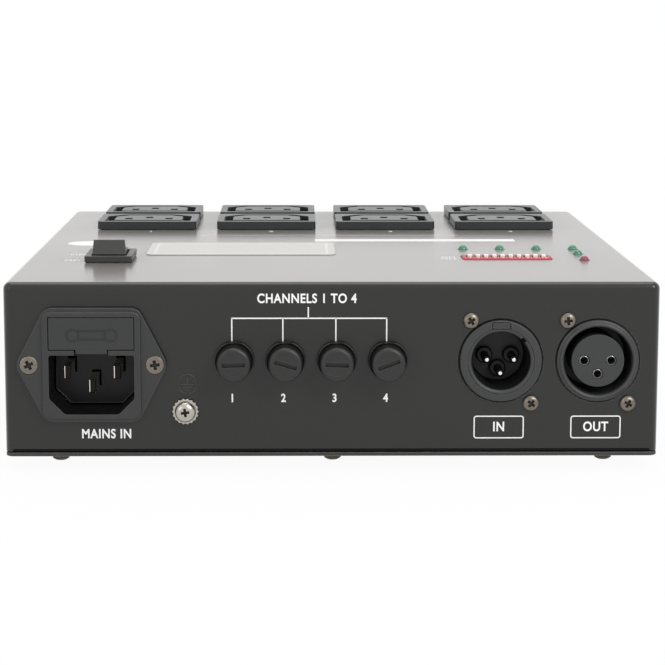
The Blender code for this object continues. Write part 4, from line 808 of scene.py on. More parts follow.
for node in ("drawer_fuse", "spare_fuse"):
    build_fuse(node, Vector((1, 0, 0)), "fuse_drawer")


# Inlet pins. Three flat blades of bright nickelled brass with chamfered tips, pressed through
# the back of the moulding, where each narrows to a solder tag.
PIN_CHAMFER = 0.00035
PIN_EDGE = 0.0001
SHOULDER_DEPTH = 0.0025
TAG_WIDTH = 0.0010
TAG_STEP = 0.0003
TAG_OVERLAP = 0.0005

pin_bright = finish("pin_bright", (0.93, 0.88, 0.80), 0.16, (1200.0, 220.0), (0.10, 0.12),
                    (0.08, 0.00002), Metallic=1.0)
# Painted dark reflection for the pins' tips.
pin_tip_painted_dark = finish("pin_tip_painted_dark", (0.018, 0.016, 0.014), 0.40, (1200.0, 400.0), (0.3, 0.15), (0.1, 0.00002),
                 Metallic=1.0)
for node in PIN_PLACES:
    low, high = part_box(node)
    shoulder = PANEL_Y + BODY_DEPTH - SHOULDER_DEPTH
    centre = (low + high) / 2
    blade = begin_box(node + "_blade", low, (high.x, shoulder, high.z))
    bevel(blade, 'FACE', lambda f: f.normal.y < -FACING, PIN_CHAMFER, 2)
    soften(blade, PIN_EDGE, 2, 50)
    weld(blade, begin_box("tag", (centre.x - TAG_WIDTH / 2, shoulder - TAG_OVERLAP, low.z + TAG_STEP),
                          (centre.x + TAG_WIDTH / 2, high.y, high.z - TAG_STEP)))
    # The tip's front faces are painted dark, a painted dark reflection; the left and lower right chamfers
    # keep the bright metal as painted highlights.
    mark(blade, lambda f: f.normal.y < -0.2 and f.center.y < shoulder - CAVITY_DEPTH / 2
         and not (f.normal.x < -0.3 or f.normal.x > 0.3 and f.center.z < centre.z and f.normal.z < -0.1))
    dress(blade, pin_bright, stands_for=[node], second=pin_tip_painted_dark)


# Inlet screws. Two small countersunk screws with cross recesses hold the inlet's wings.
COUNTERSUNK_RADIUS = 0.0026
COUNTERSUNK_SINK = 0.0001
INLET_SCREW_TURNS = (28.0, 8.0)
drive(cross_screw([
    (0.0012, -0.0030),
    (0.0012, -0.0013),
    (COUNTERSUNK_RADIUS, -0.0002),
    (COUNTERSUNK_RADIUS, 0.0),
    (COUNTERSUNK_RADIUS * 0.7, 0.00018),
], arm=0.68, arm_width=0.18, arm_depth=0.30), [
    (f"inlet_screw_{index + 1}", on_panel(inlet_x + (2 * index - 1) * INLET_SCREW_REACH, inlet_up,
                                          INLET_FLANGE - COUNTERSUNK_SINK), OUTWARDS, turn)
    for index, turn in enumerate(INLET_SCREW_TURNS)
])


# Earth point. A bright pan head screw over a toothed washer, under the earth sign that is
# pressed up out of the panel's steel.
WASHER_RADIUS = 0.0038
WASHER_BORE = 0.0026
WASHER_THICKNESS = 0.0008
TEETH = 18
TOOTH_FOOT = 0.90
HEAD_RADIUS = 0.0030
HEAD_TURN = 8.0
EARTH_SIGN = (-0.0411, 0.0195)
EARTH_SIGN_RADIUS = 0.0029
EARTH_SIGN_RISE = 0.00025
EARTH_SIGN_LINE = 0.00036
EARTH_BAR = EARTH_SIGN_LINE / 2
EARTH_BARS = [(-0.0001, (0.0019, EARTH_BAR)), (-0.0009, (0.0013, EARTH_BAR)), (-0.0017, (0.0007, EARTH_BAR)),
              (0.00095, (EARTH_BAR, 0.00095))]

bright_zinc = finish("bright_zinc", (0.46, 0.435, 0.39), 0.28, (1500.0, 300.0), (0.20, 0.18),
                     (0.12, 0.00003), Metallic=1.0)
sign_paint = finish("sign_paint", (0.034, 0.034, 0.032), 0.40, (2600.0, 60.0), (0.3, 0.12))
earth_x, earth_up = panel_of("earth_screw")
washer = turned_out("earth_washer", earth_x, earth_up,
                    tube(WASHER_RADIUS, WASHER_BORE, FIT_GAP, FIT_GAP + WASHER_THICKNESS), 2 * TEETH)
hub = on_panel(earth_x, earth_up)


def is_between_teeth(point):
    """True for a rim point that lies between two teeth of the washer."""
    x, z = point.co.x - hub.x, point.co.z - hub.z
    turn = math.degrees(math.atan2(z, x)) % (360.0 / TEETH)
    return math.hypot(x, z) > WASHER_RADIUS - TINY * 5 and 90.0 / TEETH < turn < 270.0 / TEETH


edit(washer)
pick(washer, 'VERT', is_between_teeth)
bpy.ops.transform.resize(value=(TOOTH_FOOT, 1.0, TOOTH_FOOT), center_override=hub)
bpy.ops.object.mode_set(mode='OBJECT')
soften(washer, 0.00012, 2)
dress(washer, bright_zinc, stands_for=["earth_screw"])
drive(cross_screw([
    (0.0019, -0.0080),
    (0.0019, 0.0),
    (HEAD_RADIUS, 0.0),
    (HEAD_RADIUS, 0.0007),
    (HEAD_RADIUS * 0.93, 0.0013),
    (HEAD_RADIUS * 0.75, 0.0018),
    (HEAD_RADIUS * 0.5, 0.0021),
    (HEAD_RADIUS * 0.2, 0.0022),
], arm=0.52, arm_width=0.13, arm_depth=0.13), [
    ("earth_screw_head", on_panel(earth_x, earth_up, FIT_GAP + WASHER_THICKNESS), OUTWARDS, HEAD_TURN),
], bright_zinc)

parts = [turned_out("earth_sign", *EARTH_SIGN, [
    (EARTH_SIGN_RADIUS, -FIT_GAP),
    (EARTH_SIGN_RADIUS, EARTH_SIGN_RISE * 0.6),
    (EARTH_SIGN_RADIUS - EARTH_SIGN_LINE * 0.3, EARTH_SIGN_RISE),
    (EARTH_SIGN_RADIUS - EARTH_SIGN_LINE * 0.7, EARTH_SIGN_RISE),
    (EARTH_SIGN_RADIUS - EARTH_SIGN_LINE, EARTH_SIGN_RISE * 0.6),
    (EARTH_SIGN_RADIUS - EARTH_SIGN_LINE, -FIT_GAP),
    (EARTH_SIGN_RADIUS, -FIT_GAP),
], 64)]
for up, half in EARTH_BARS:
    parts.append(panel_box("bar", EARTH_SIGN[0], EARTH_SIGN[1] + up, half, -FIT_GAP, EARTH_SIGN_RISE))
earth_sign = join("earth_sign", parts)
soften(earth_sign, 0.00005, 2)
dress(earth_sign, sign_paint)


# Fuse holders. Four moulded holders in a row: a ring with a sloped flat at its top, a barrel
# with its nut behind the panel, and a slotted bayonet cap that draws out with the fuse.
HOLDER_RING = 0.0057
HOLDER_RECESS = 0.0052
HOLDER_RING_RISE = 0.0018
HOLDER_RING_EDGE = 0.0002
HOLDER_SEAT = 0.0007
HOLDER_BARREL = 0.0048
HOLDER_BORE = 0.0037
HOLDER_BACK = -0.0230
HOLDER_FLAT_FOOT = 0.0056
HOLDER_FLAT_TOP = 0.00485
NUT_RADIUS = 0.00722
NUT_HEIGHT = 0.0028
NUT_TOP = -SHEET - FIT_GAP
NUT_CUT = -0.01
WEDGE_PAST = (0.001, 0.002)
CAP_RADIUS = 0.0049
CAP_PROUD = 0.0082
CAP_CROWN = [(0.0001, 0.0009), (0.00025, 0.0005), (0.0006, 0.00015), (0.0011, 0.0), (0.0017, 0.0),
             (0.0018, 0.00006)]
CAP_SLOT = (0.0033, 0.0006)
CAP_SLOT_DEPTH = 0.0012
CAP_SLOT_CORNER = 0.00024
CAP_TURNS = (1.5, -16.0, -2.0, 20.0)
SKIRT = 0.0034
SKIRT_LENGTH = 0.0080

cap_black = finish("cap_black", (0.012, 0.0125, 0.0115), 0.42, (1700.0, 110.0), (0.30, 0.18),
                   (0.30, 0.00003), highlight_colour=(0.06, 0.06, 0.057), highlight_spread=(0.8, 0.00045))
holder_black = finish("holder_black", (0.005, 0.005, 0.005), 0.45, (1700.0, 110.0), (0.30, 0.18),
                      (0.22, 0.00003), highlight_colour=(0.07, 0.07, 0.066), highlight_spread=(0.8, 0.00045))
# Painted shade: a darker, duller copy of the cap's black for its sides.
cap_painted_shade = finish("cap_side_painted_shade", (0.004, 0.004, 0.004), 0.7, (1700.0, 110.0), (0.3, 0.12),
                  Specular_IOR_Level=0.2)


def upright(x, up, spin=0.0):
    """The matrix that stands a piece modelled lying flat upon the panel, turned in its plane."""
    return (Matrix.Translation(on_panel(x, up)) @ Matrix.Rotation(math.pi / 2, 4, 'X')
            @ Matrix.Rotation(math.radians(spin), 4, 'Z'))


for number, turn in enumerate(CAP_TURNS, 1):
    x, up = panel_of(f"fuse_holder_{number}")
    fuse_low, fuse_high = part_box(f"fuse_{number}")
    bottom = PANEL_Y - fuse_high.y - FIT_GAP
    holder = turned_out(f"holder_{number}", x, up, [
        (HOLDER_BORE, bottom),
        (HOLDER_BORE, HOLDER_SEAT),
        (HOLDER_RECESS, HOLDER_SEAT),
        (HOLDER_RECESS, HOLDER_RING_RISE - HOLDER_RING_EDGE),
        (HOLDER_RECESS + HOLDER_RING_EDGE, HOLDER_RING_RISE),
        (HOLDER_RING - HOLDER_RING_EDGE, HOLDER_RING_RISE),
        (HOLDER_RING, HOLDER_RING_RISE - HOLDER_RING_EDGE),
        (HOLDER_RING, FIT_GAP),
        (HOLDER_BARREL, FIT_GAP),
        (HOLDER_BARREL, HOLDER_BACK),
        (HOLDER_BORE * 0.3, HOLDER_BACK),
        (HOLDER_BORE * 0.3, bottom),
        (HOLDER_BORE, bottom),
    ])
    nut = turned_out("nut", x, up, rod(NUT_RADIUS, NUT_TOP - NUT_HEIGHT, NUT_TOP), 6)
    cut(nut, turned_out("tool", x, up, rod(HOLDER_BARREL - TINY, NUT_CUT, 0.0)))
    low = on_panel(x - HOLDER_RING, up + HOLDER_FLAT_TOP, HOLDER_RING_RISE + WEDGE_PAST[0])
    wedge = begin_box("tool", low, on_panel(x + HOLDER_RING, up + HOLDER_RING + WEDGE_PAST[1], FIT_GAP))
    ring_top = on_panel(x, up + HOLDER_RING).z
    edit(wedge)
    pick(wedge, 'EDGE', lambda e: along(e, 0) and middle(e).z < ring_top
         and middle(e).y > PANEL_Y - 2 * FIT_GAP)
    bpy.ops.transform.translate(value=(0, 0, HOLDER_FLAT_FOOT - HOLDER_FLAT_TOP))
    bpy.ops.object.mode_set(mode='OBJECT')
    cut(holder, wedge)
    holder = join(f"holder_{number}", [holder, nut])
    soften(holder, 0.0001, 2, 50)
    dress(holder, holder_black, stands_for=[f"fuse_holder_{number}"])

    cap = turned_out(f"cap_{number}", x, up, [
        (FUSE_RADIUS + FIT_GAP, PANEL_Y - fuse_low.y + FIT_GAP),
        (FUSE_RADIUS + FIT_GAP, -SKIRT_LENGTH),
        (SKIRT, -SKIRT_LENGTH),
        (SKIRT, HOLDER_SEAT + FIT_GAP),
        (CAP_RADIUS, HOLDER_SEAT + FIT_GAP),
        *((CAP_RADIUS - inwards, CAP_PROUD - drop) for inwards, drop in CAP_CROWN),
    ])
    slot = box_about("tool", (0, 0, CAP_PROUD), CAP_SLOT, -CAP_SLOT_DEPTH, CAP_SLOT_DEPTH)
    round_along(slot, 2, CAP_SLOT_CORNER, 3)
    slot.matrix_world = upright(x, up, turn)
    cut(cap, slot)
    soften(cap, 0.00012, 2, 50)
    # All but the cap's outward faces take the painted shade.
    mark(cap, lambda f: f.normal.y > -0.3)
    dress(cap, cap_black, f"fuse_cap_{number}", [f"fuse_cap_{number}"], cap_painted_shade)
    build_fuse(f"fuse_{number}", OUTWARDS, f"fuse_{number}")


# Data input. A round die-cast nose with a latch at its top and a key way in its bore; three
# silvered pins stand on small bosses at the bottom of the cavity.
NOSE_RADIUS = 0.0117
NOSE_PROUD = 0.0010
NOSE_FOOT = -0.0025
INPUT_LIP = [(0.00965, 0.0), (0.00955, 0.00035), (0.00935, 0.00035), (0.00925, 0.00010), (0.00860, 0.00030),
             (0.00835, 0.00060)]
PLATE_HALF = (0.01275, 0.0155)
PLATE_FRONT = -0.0015
PLATE_BACK = -0.0035
PLATE_CORNERS = 0.0030
PLATE_BORE = 0.0016
PLATE_CUT = 0.006
BARREL = 0.0110
BARREL_OVERLAP = 0.0002
BARREL_DEPTH = 0.0200
IN_BORE = 0.0079
IN_CAVITY = 0.0135
KEY_ANGLE = 47.0
KEY_HALF = 0.0008
KEY_REACH = (0.0010, 0.0013)
NOTCH = (0.0028, 0.0011)
LATCH = (0.0024, 0.0009)
LATCH_UP = 0.0101
PIN_CIRCLE = 0.00385
PIN_RADIUS = 0.0012
PIN_TIP = -0.0012
PIN_POINT = [(1.0, 0.0012), (0.92, 0.0007), (0.70, 0.0003), (0.40, 0.00008), (0.12, 0.0)]
BOSS_RADIUS = 0.0024
BOSS_RISE = 0.0022
BOSS_EDGE = 0.0004
TAIL_RADIUS = 0.0009
TAIL_END = -0.0245
DMX_SCREW = (0.0087, 0.0119)
CONTACTS = [(-PIN_CIRCLE, 0.0), (PIN_CIRCLE, 0.0), (0.0, -PIN_CIRCLE)]

cast_black = finish("cast_black", (0.030, 0.031, 0.031), 0.44, (1500.0, 90.0), (0.22, 0.15),
                    (0.2, 0.00003), highlight_colour=(0.12, 0.12, 0.118), highlight_spread=(0.7, 0.0004))
# Painted shade: near black for the bore and the insert deep in the socket.
socket_painted_shade = finish("socket_painted_shade", (0.005, 0.005, 0.0055), 0.50, (1500.0, 90.0), (0.3, 0.12),
                      (0.15, 0.00003))
silver = finish("contact_silver", (0.90, 0.90, 0.87), 0.16, (900.0, 200.0), (0.12, 0.12),
                (0.05, 0.00001), Metallic=1.0)
# Painted shade: a dark copy of the silver for the pins.
pin_painted_shade = finish("pin_painted_shade", (0.030, 0.030, 0.030), 0.45, (900.0, 200.0), (0.2, 0.12), Metallic=1.0)


def rear_flange(x, up):
    """The socket's square flange behind the panel, with a hole for its barrel and two for screws."""
    flange = panel_box("flange", x, up, PLATE_HALF, PLATE_BACK, PLATE_FRONT)
    round_along(flange, 1, PLATE_CORNERS, 5)
    for side in (-1, 1):
        place = on_panel(x + side * DMX_SCREW[0], up - side * DMX_SCREW[1])
        cut(flange, round_tool(place, OUTWARDS, PLATE_BORE, PLATE_CUT))
    cut(flange, round_tool(on_panel(x, up), OUTWARDS, BARREL - BARREL_OVERLAP, PLATE_CUT, 96))
    return flange


in_x, in_up = panel_of("dmx_in_shell")
shell = turned_out("data_in_nose", in_x, in_up, [
    (NOSE_RADIUS, NOSE_FOOT),
    (NOSE_RADIUS, NOSE_PROUD - 0.00045),
    (NOSE_RADIUS - 0.00015, NOSE_PROUD - 0.00015),
    (NOSE_RADIUS - 0.00045, NOSE_PROUD),
    *((radius, NOSE_PROUD - drop) for radius, drop in INPUT_LIP),
    (0.00815, -0.0016),
    (IN_BORE, -0.0024),
    (IN_BORE, -BARREL_DEPTH),
    (BARREL, -BARREL_DEPTH),
    (BARREL, NOSE_FOOT),
    (NOSE_RADIUS, NOSE_FOOT),
], 128)
key = begin_box("tool", (-KEY_HALF, IN_BORE - KEY_REACH[0], -IN_CAVITY),
                (KEY_HALF, IN_BORE + KEY_REACH[1], CUT_DEPTH))
key.matrix_world = upright(in_x, in_up, -KEY_ANGLE)
notch = panel_box("tool", in_x, in_up + LATCH_UP, NOTCH, NOSE_PROUD - 0.0007, CUT_DEPTH)
bevel(notch, 'EDGE', lambda e: along(e, 1) and middle(e).z > on_panel(0, in_up + LATCH_UP).z, 0.0006)
cut(shell, key, notch)
shell = join("data_in_nose", [shell, rear_flange(in_x, in_up)])
soften(shell, 0.00012, 2, 50)
# The bore's walls behind the lip take the painted shade.
mark(shell, lambda f: f.center.y > PANEL_Y - NOSE_PROUD + 0.0009
     and (f.center - on_panel(in_x, in_up)).xz.length < IN_BORE + 0.0005)
dress(shell, cast_black, stands_for=["dmx_in_shell"], second=socket_painted_shade)
latch = panel_box("data_in_latch", in_x, in_up + LATCH_UP, LATCH, NOSE_PROUD - 0.0008, NOSE_PROUD - 0.0002)
soften(latch, 0.00018, 3)
dress(latch, cast_black)

cavity_floor = NOSE_PROUD - IN_CAVITY
insert = turned_out("data_in_insert", in_x, in_up, rod(IN_BORE - FIT_GAP, -BARREL_DEPTH, cavity_floor))
for x, up in CONTACTS:
    weld(insert, turned_out("boss", in_x + x, in_up + up, [
        (BOSS_RADIUS, cavity_floor - 0.001),
        (BOSS_RADIUS, cavity_floor + BOSS_RISE - BOSS_EDGE),
        (BOSS_RADIUS - BOSS_EDGE, cavity_floor + BOSS_RISE),
    ], 48))
# The insert at the cavity's floor is dressed in the same near-black painted shade.
dress(insert, socket_painted_shade, stands_for=["dmx_in_insert"])
for number, (x, up) in enumerate(CONTACTS, 1):
    pin = turned_out(f"data_in_pin_{number}", in_x + x, in_up + up, [
        *rod(TAIL_RADIUS, TAIL_END, -BARREL_DEPTH),
        (PIN_RADIUS, -BARREL_DEPTH),
        *((PIN_RADIUS * share, PIN_TIP - drop) for share, drop in PIN_POINT),
    ], 48)
    # Each pin is painted dark but for a small spot at its point, which keeps the silver as a painted
    # highlight.
    mark(pin, lambda f: f.center.y > PANEL_Y - PIN_TIP + 0.00007)
    dress(pin, silver, second=pin_painted_shade, angle=60)


# Data output. The same nose with a rounded bead, round a core of black plastic whose three
# deep holes each hold a sprung silver tube.
OUT_BORE = 0.0097
OUTPUT_BEAD = [(0.01115, 0.00066), (0.01100, 0.00082), (0.01080, 0.00110), (0.01045, 0.00124),
               (0.01010, 0.00112), (0.00985, 0.00080)]
CORE_RADIUS = 0.00755
CORE_FACE = 0.0004
CORE_FOOT = -0.0140
CORE_EDGE = 0.00035
HOLE_RADIUS = 0.00145
HOLE_DEPTH = 0.0090
HOLE_CHAMFER = 0.0003
TUBE_RADIUS = HOLE_RADIUS - 0.00005
TUBE_BORE = HOLE_RADIUS - 0.00050

core_black = finish("core_black", (0.028, 0.029, 0.030), 0.46, (1500.0, 80.0), (0.22, 0.12),
                    (0.18, 0.00003), highlight_colour=(0.10, 0.10, 0.10), highlight_spread=(0.6, 0.0003))
# Painted shade: the sleeves' silver is darkened throughout, for the shade in their holes.
sleeve_silver_painted_shade = finish("sleeve_silver_painted_shade", (0.42, 0.42, 0.40), 0.30, (900.0, 900.0), (0.6, 0.2), Metallic=1.0)
out_x, out_up = panel_of("dmx_out_shell")
shell = turned_out("data_out_nose", out_x, out_up, [
    (NOSE_RADIUS, NOSE_FOOT),
    (NOSE_RADIUS, 0.00035),
    (NOSE_RADIUS - 0.00015, 0.00055),
    (NOSE_RADIUS - 0.00035, 0.00062),
    *OUTPUT_BEAD,
    (OUT_BORE, 0.00030),
    (OUT_BORE, -BARREL_DEPTH),
    (BARREL, -BARREL_DEPTH),
    (BARREL, NOSE_FOOT),
    (NOSE_RADIUS, NOSE_FOOT),
], 128)
shell = join("data_out_nose", [shell, rear_flange(out_x, out_up)])
dress(shell, cast_black, stands_for=["dmx_out_shell"])
core = turned_out("data_out_core", out_x, out_up, [
    *rod(OUT_BORE - FIT_GAP, -BARREL_DEPTH, CORE_FOOT),
    (CORE_RADIUS, CORE_FOOT),
    (CORE_RADIUS, CORE_FACE - CORE_EDGE),
    (CORE_RADIUS - 0.0001, CORE_FACE - 0.0001),
    (CORE_RADIUS - CORE_EDGE, CORE_FACE),
], 128)
for x, up in CONTACTS:
    cut(core, turned_out("tool", out_x + x, out_up + up, [
        *rod(HOLE_RADIUS, CORE_FACE - HOLE_DEPTH, CORE_FACE - HOLE_CHAMFER),
        *rod(HOLE_RADIUS + HOLE_CHAMFER, CORE_FACE, CORE_FACE + 0.001),
    ], 48))
dress(core, core_black, stands_for=["dmx_out_insert"])
for number, (x, up) in enumerate(CONTACTS, 1):
    sleeve = turned_out("sleeve", out_x + x, out_up + up, [
        (TUBE_RADIUS, CORE_FACE - HOLE_DEPTH),
        (TUBE_RADIUS, CORE_FACE - 0.0005),
        (HOLE_RADIUS - 0.00025, CORE_FACE - 0.0004),
        (TUBE_BORE, CORE_FACE - 0.0006),
        (TUBE_BORE, CORE_FACE - HOLE_DEPTH),
        (TUBE_RADIUS, CORE_FACE - HOLE_DEPTH),
    ], 48)
    tail = turned_out("tail", out_x + x, out_up + up, rod(TAIL_RADIUS, TAIL_END, CORE_FOOT), 24)
    dress(join(f"data_out_contact_{number}", [sleeve, tail]), sleeve_silver_painted_shade, angle=60)


# Data socket screws. Two cross head pan screws on a diagonal hold each socket to the panel.
SOCKET_SCREW_RADIUS = 0.00235
SOCKET_SCREW_GAP = 0.00002
SOCKET_SCREWS = [(0.0393, 0.0376, 34.0), (0.0566, 0.0139, 52.0), (0.0668, 0.0376, 5.0),
                 (0.08425, 0.0138, 61.0)]
drive(cross_screw([
    (0.0015, -0.0060),
    (0.0015, 0.0),
    (SOCKET_SCREW_RADIUS, 0.0),
    (SOCKET_SCREW_RADIUS, 0.0004),
    (SOCKET_SCREW_RADIUS * 0.94, 0.0008),
    (SOCKET_SCREW_RADIUS * 0.78, 0.00115),
    (SOCKET_SCREW_RADIUS * 0.5, 0.0014),
    (SOCKET_SCREW_RADIUS * 0.2, 0.00148),
], arm=0.66, arm_width=0.18, arm_depth=0.14), [
    (f"data_screw_{number}", on_panel(x, up, SOCKET_SCREW_GAP), OUTWARDS, turn)
    for number, (x, up, turn) in enumerate(SOCKET_SCREWS, 1)
])


# Mains outlets. Eight black mouldings snap into the lid: a square rim, a body below it, and an
# island with three contact slots inside a deep groove that takes the plug's shell.
RIM_HALF = (0.0170, 0.0136)
RIM_HEIGHT = 0.0030
RIM_CORNER = 0.0014
OUTLET_BODY = (0.0157, 0.01205)
OUTLET_BODY_DEPTH = 0.0215
GROOVE = 0.0030
GROOVE_DEPTH = 0.0165
ISLAND_HALF = (0.0117, 0.00805)
ISLAND_CHAMFER = 0.0043
ISLAND_CORNER = 0.0006
SLOT_HALF = (0.00125, 0.0023)
SLOT_DEPTH = 0.0150
SLOT_PLACES = [(-0.0070, -0.0033), (0.0070, -0.0033), (0.0, 0.0007)]
ORIGIN = (0, 0, 0)

outlet_black = finish("outlet_black", (0.026, 0.028, 0.030), 0.38, (1500.0, 60.0), (0.25, 0.15),
                      (0.2, 0.00003), highlight_colour=(0.09, 0.09, 0.09), highlight_spread=(0.7, 0.0005), Sheen_Weight=0.25,
                      Sheen_Roughness=0.35)


def chamfered_block(half, bottom, top, chamfer):
    """A block with two corners cut off at its rear, as an earthed mains plug has."""
    made = box_about("tool", ORIGIN, half, bottom, top)
    bevel(made, 'EDGE', lambda e: along(e, 2) and middle(e).y > 0, chamfer, 1)
    round_along(made, 2, ISLAND_CORNER, 3)
    return made


outlet = box_about("outlet", ORIGIN, RIM_HALF, FIT_GAP, RIM_HEIGHT)
round_along(outlet, 2, RIM_CORNER)
body = box_about("body", ORIGIN, OUTLET_BODY, -OUTLET_BODY_DEPTH, RIM_HEIGHT / 2)
round_along(body, 2, RIM_CORNER, 4)
weld(outlet, body)
groove_bottom = RIM_HEIGHT - GROOVE_DEPTH
groove = chamfered_block((ISLAND_HALF[0] + GROOVE, ISLAND_HALF[1] + GROOVE), groove_bottom,
                         RIM_HEIGHT + CUT_DEPTH, ISLAND_CHAMFER + GROOVE * 0.6)
cut(groove, chamfered_block(ISLAND_HALF, groove_bottom - CUT_DEPTH, RIM_HEIGHT + 2 * CUT_DEPTH,
                            ISLAND_CHAMFER))
cut(outlet, groove)
for x, y in SLOT_PLACES:
    cut(outlet, box_about("tool", (x, y, RIM_HEIGHT), SLOT_HALF, -SLOT_DEPTH, CUT_DEPTH))
soften(outlet, 0.00035, 3, 50)
for number in range(1, 9):
    node = f"outlet_{number}"
    placed = copy_to(outlet, f"mains_outlet_{number}", lid_middle(node), UPWARDS)
    dress(placed, outlet_black, stands_for=[node])
bpy.data.objects.remove(outlet)


# Power switch. A moulded bezel and body snap into the lid; the rocker tips in them on two
# trunnions, its raised end towards the connector panel.
BEZEL_HALF = (0.0072, 0.0105)
BEZEL_HEIGHT = 0.0021
BEZEL_CORNER = 0.0008
SWITCH_BODY = (0.0066, 0.0095)
SWITCH_BODY_DEPTH = 0.0190
WELL_HALF = (0.0054, 0.0083)
WELL_DEPTH = 0.0060
TRUNNION_RADIUS = 0.0013
TRUNNION_REACH = 0.0062
SWITCH_TAG = (0.0024, 0.0005)
SWITCH_TAG_LENGTH = 0.0070
SWITCH_TAG_OVERLAP = 0.0010

switch_black = finish("switch_black", (0.042, 0.042, 0.041), 0.40, (1500.0, 70.0), (0.22, 0.15),
                      (0.2, 0.00003), highlight_colour=(0.12, 0.12, 0.12), highlight_spread=(0.8, 0.0005))
switch = lid_middle("power_switch_body")
bezel = box_about("switch_bezel", switch, BEZEL_HALF, FIT_GAP, BEZEL_HEIGHT)
round_along(bezel, 2, BEZEL_CORNER, 5)
weld(bezel, box_about("body", switch, SWITCH_BODY, -SWITCH_BODY_DEPTH, BEZEL_HEIGHT / 2))
cut(bezel, box_about("tool", switch, WELL_HALF, -WELL_DEPTH, CUT_DEPTH),
    round_tool(switch, (1, 0, 0), TRUNNION_RADIUS, TRUNNION_REACH, 32))
soften(bezel, 0.0003, 3, 50)
dress(bezel, switch_black, stands_for=["power_switch_body"])
tags = []
for side in (-1, 1):
    foot = (switch[0], switch[1] + side * SWITCH_BODY[1] / 2, LID_Z - SWITCH_BODY_DEPTH)
    tags.append(box_about("tag", foot, SWITCH_TAG, -SWITCH_TAG_LENGTH, SWITCH_TAG_OVERLAP))
    soften(tags[-1], 0.0002, 2)
dress(join("switch_tags", tags), pin_bright)


def copy_of_node(name, node, whole=True):
    """A merged copy of a node's mesh to be worked on, with its flat faces whole again or not."""
    made = bpy.data.objects.new(name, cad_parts[node].data.copy())
    bpy.context.collection.objects.link(made)
    made.data.name = name
    edit(made)
    bpy.ops.mesh.select_all(action='SELECT')
    bpy.ops.mesh.remove_doubles(threshold=MERGE)
    bpy.ops.mesh.normals_make_consistent(inside=False)
    if whole:
        bpy.ops.mesh.dissolve_limited(angle_limit=math.radians(1.0))
    bpy.ops.object.mode_set(mode='OBJECT')
    return made


rocker = copy_of_node("switch_rocker", "power_rocker")
soften(rocker, 0.0004, 3, 25)
dress(rocker, switch_black, "power_rocker", ["power_rocker"])


# Address switch. A red body with ten slots looks through the lid, with a white slider in each.
# Its slots are painted black inside: painted shade over the red.
DIP_EDGE = 0.00012
DIP_SHADE_DEPTH = 0.0012
DIP_SHADE_INSET = 0.001
dip_red = finish("dip_red", (0.50, 0.035, 0.050), 0.42, (1400.0, 150.0), (0.15, 0.10), (0.1, 0.00002),
                 highlight_colour=(0.62, 0.12, 0.12), highlight_spread=(0.5, 0.0003))
dip_slot_painted_shade = finish("dip_slot_painted_shade", (0.010, 0.008, 0.008), 0.6, (1400.0, 150.0))
slider_white = finish("slider_white", (0.92, 0.91, 0.89), 0.45, (1500.0, 300.0), (0.08, 0.12),
                      (0.1, 0.00002), highlight_colour=(0.90, 0.90, 0.88), highlight_spread=(0.3, 0.0002))
dip_low, dip_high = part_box("dip_switch_body")
dip_body = copy_of_node("address_switch", "dip_switch_body", False)
# Faces inside the slots, and those just under the lid, take the painted shade.
mark(dip_body, lambda f: LID_Z - DIP_SHADE_DEPTH < f.center.z < dip_high.z - TINY and abs(f.normal.z) < 0.1
     and dip_low.x + DIP_SHADE_INSET < f.center.x < dip_high.x - DIP_SHADE_INSET
     and dip_low.y + DIP_SHADE_INSET < f.center.y < dip_high.y - DIP_SHADE_INSET
     or LID_Z - DIP_SHADE_DEPTH < f.center.z < LID_Z and f.normal.z > FACING)
soften(dip_body, DIP_EDGE, 2)
dress(dip_body, dip_red, stands_for=["dip_switch_body"], second=dip_slot_painted_shade)
for number in range(1, 11):
    node = f"dip_slider_{number}"
    slider = copy_of_node(f"address_slider_{number}", node)
    soften(slider, DIP_EDGE, 2)
    dress(slider, slider_white, node, [node])


# Lamps. Round 3 mm lamps on spacers: four green for the channels, one green for the signal and
# a red one for power. Their domes stand just through the lid.
LENS_RADIUS = 0.0015
LENS_RISE = 0.0014
DOME_CENTRE = LENS_RISE - LENS_RADIUS
SPACER_RADIUS = 0.0021
COLLAR_RADIUS = 0.0019
COLLAR_TOP = -SHEET - FIT_GAP
COLLAR_FOOT = COLLAR_TOP - 0.0010


def lens_material(name, colour, glow):
    """Tinted, slightly clouded resin that glows a little from inside."""
    return finish(name, colour, 0.22, (1200.0, 500.0), (0.15, 0.12), (0.05, 0.00001), Coat_Weight=0.6,
                  Coat_Roughness=0.08, Subsurface_Weight=0.15, Subsurface_Scale=0.001,
                  Emission_Color=(*glow, 1.0), Emission_Strength=0.06)


green_lens = lens_material("green_lens", (0.034, 0.20, 0.11), (0.05, 0.6, 0.3))
red_lens = lens_material("red_lens", (0.22, 0.034, 0.052), (0.6, 0.05, 0.08))
spacer_black = finish("spacer_black", (0.02, 0.02, 0.02), 0.5, (1500.0, 100.0))
dome = [(LENS_RADIUS * math.cos(angle), DOME_CENTRE + LENS_RADIUS * math.sin(angle))
        for angle in (math.radians(11.0 * step) for step in range(9))]
for node in LAMPS:
    place = lid_middle(node)
    spacer = turned(node + "_spacer", place, UPWARDS, [
        *rod(SPACER_RADIUS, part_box(node)[0].z - LID_Z, COLLAR_FOOT), (LENS_RADIUS, COLLAR_FOOT)], 48)
    dress(spacer, spacer_black)
    lens = turned(node + "_lens", place, UPWARDS, [
        *rod(COLLAR_RADIUS, COLLAR_FOOT, COLLAR_TOP), (LENS_RADIUS, COLLAR_TOP), *dome], 48)
    material, slot = (red_lens, "led_red") if node == "led_power" else (green_lens, "led_green")
    dress(lens, material, stands_for=[node], angle=50)


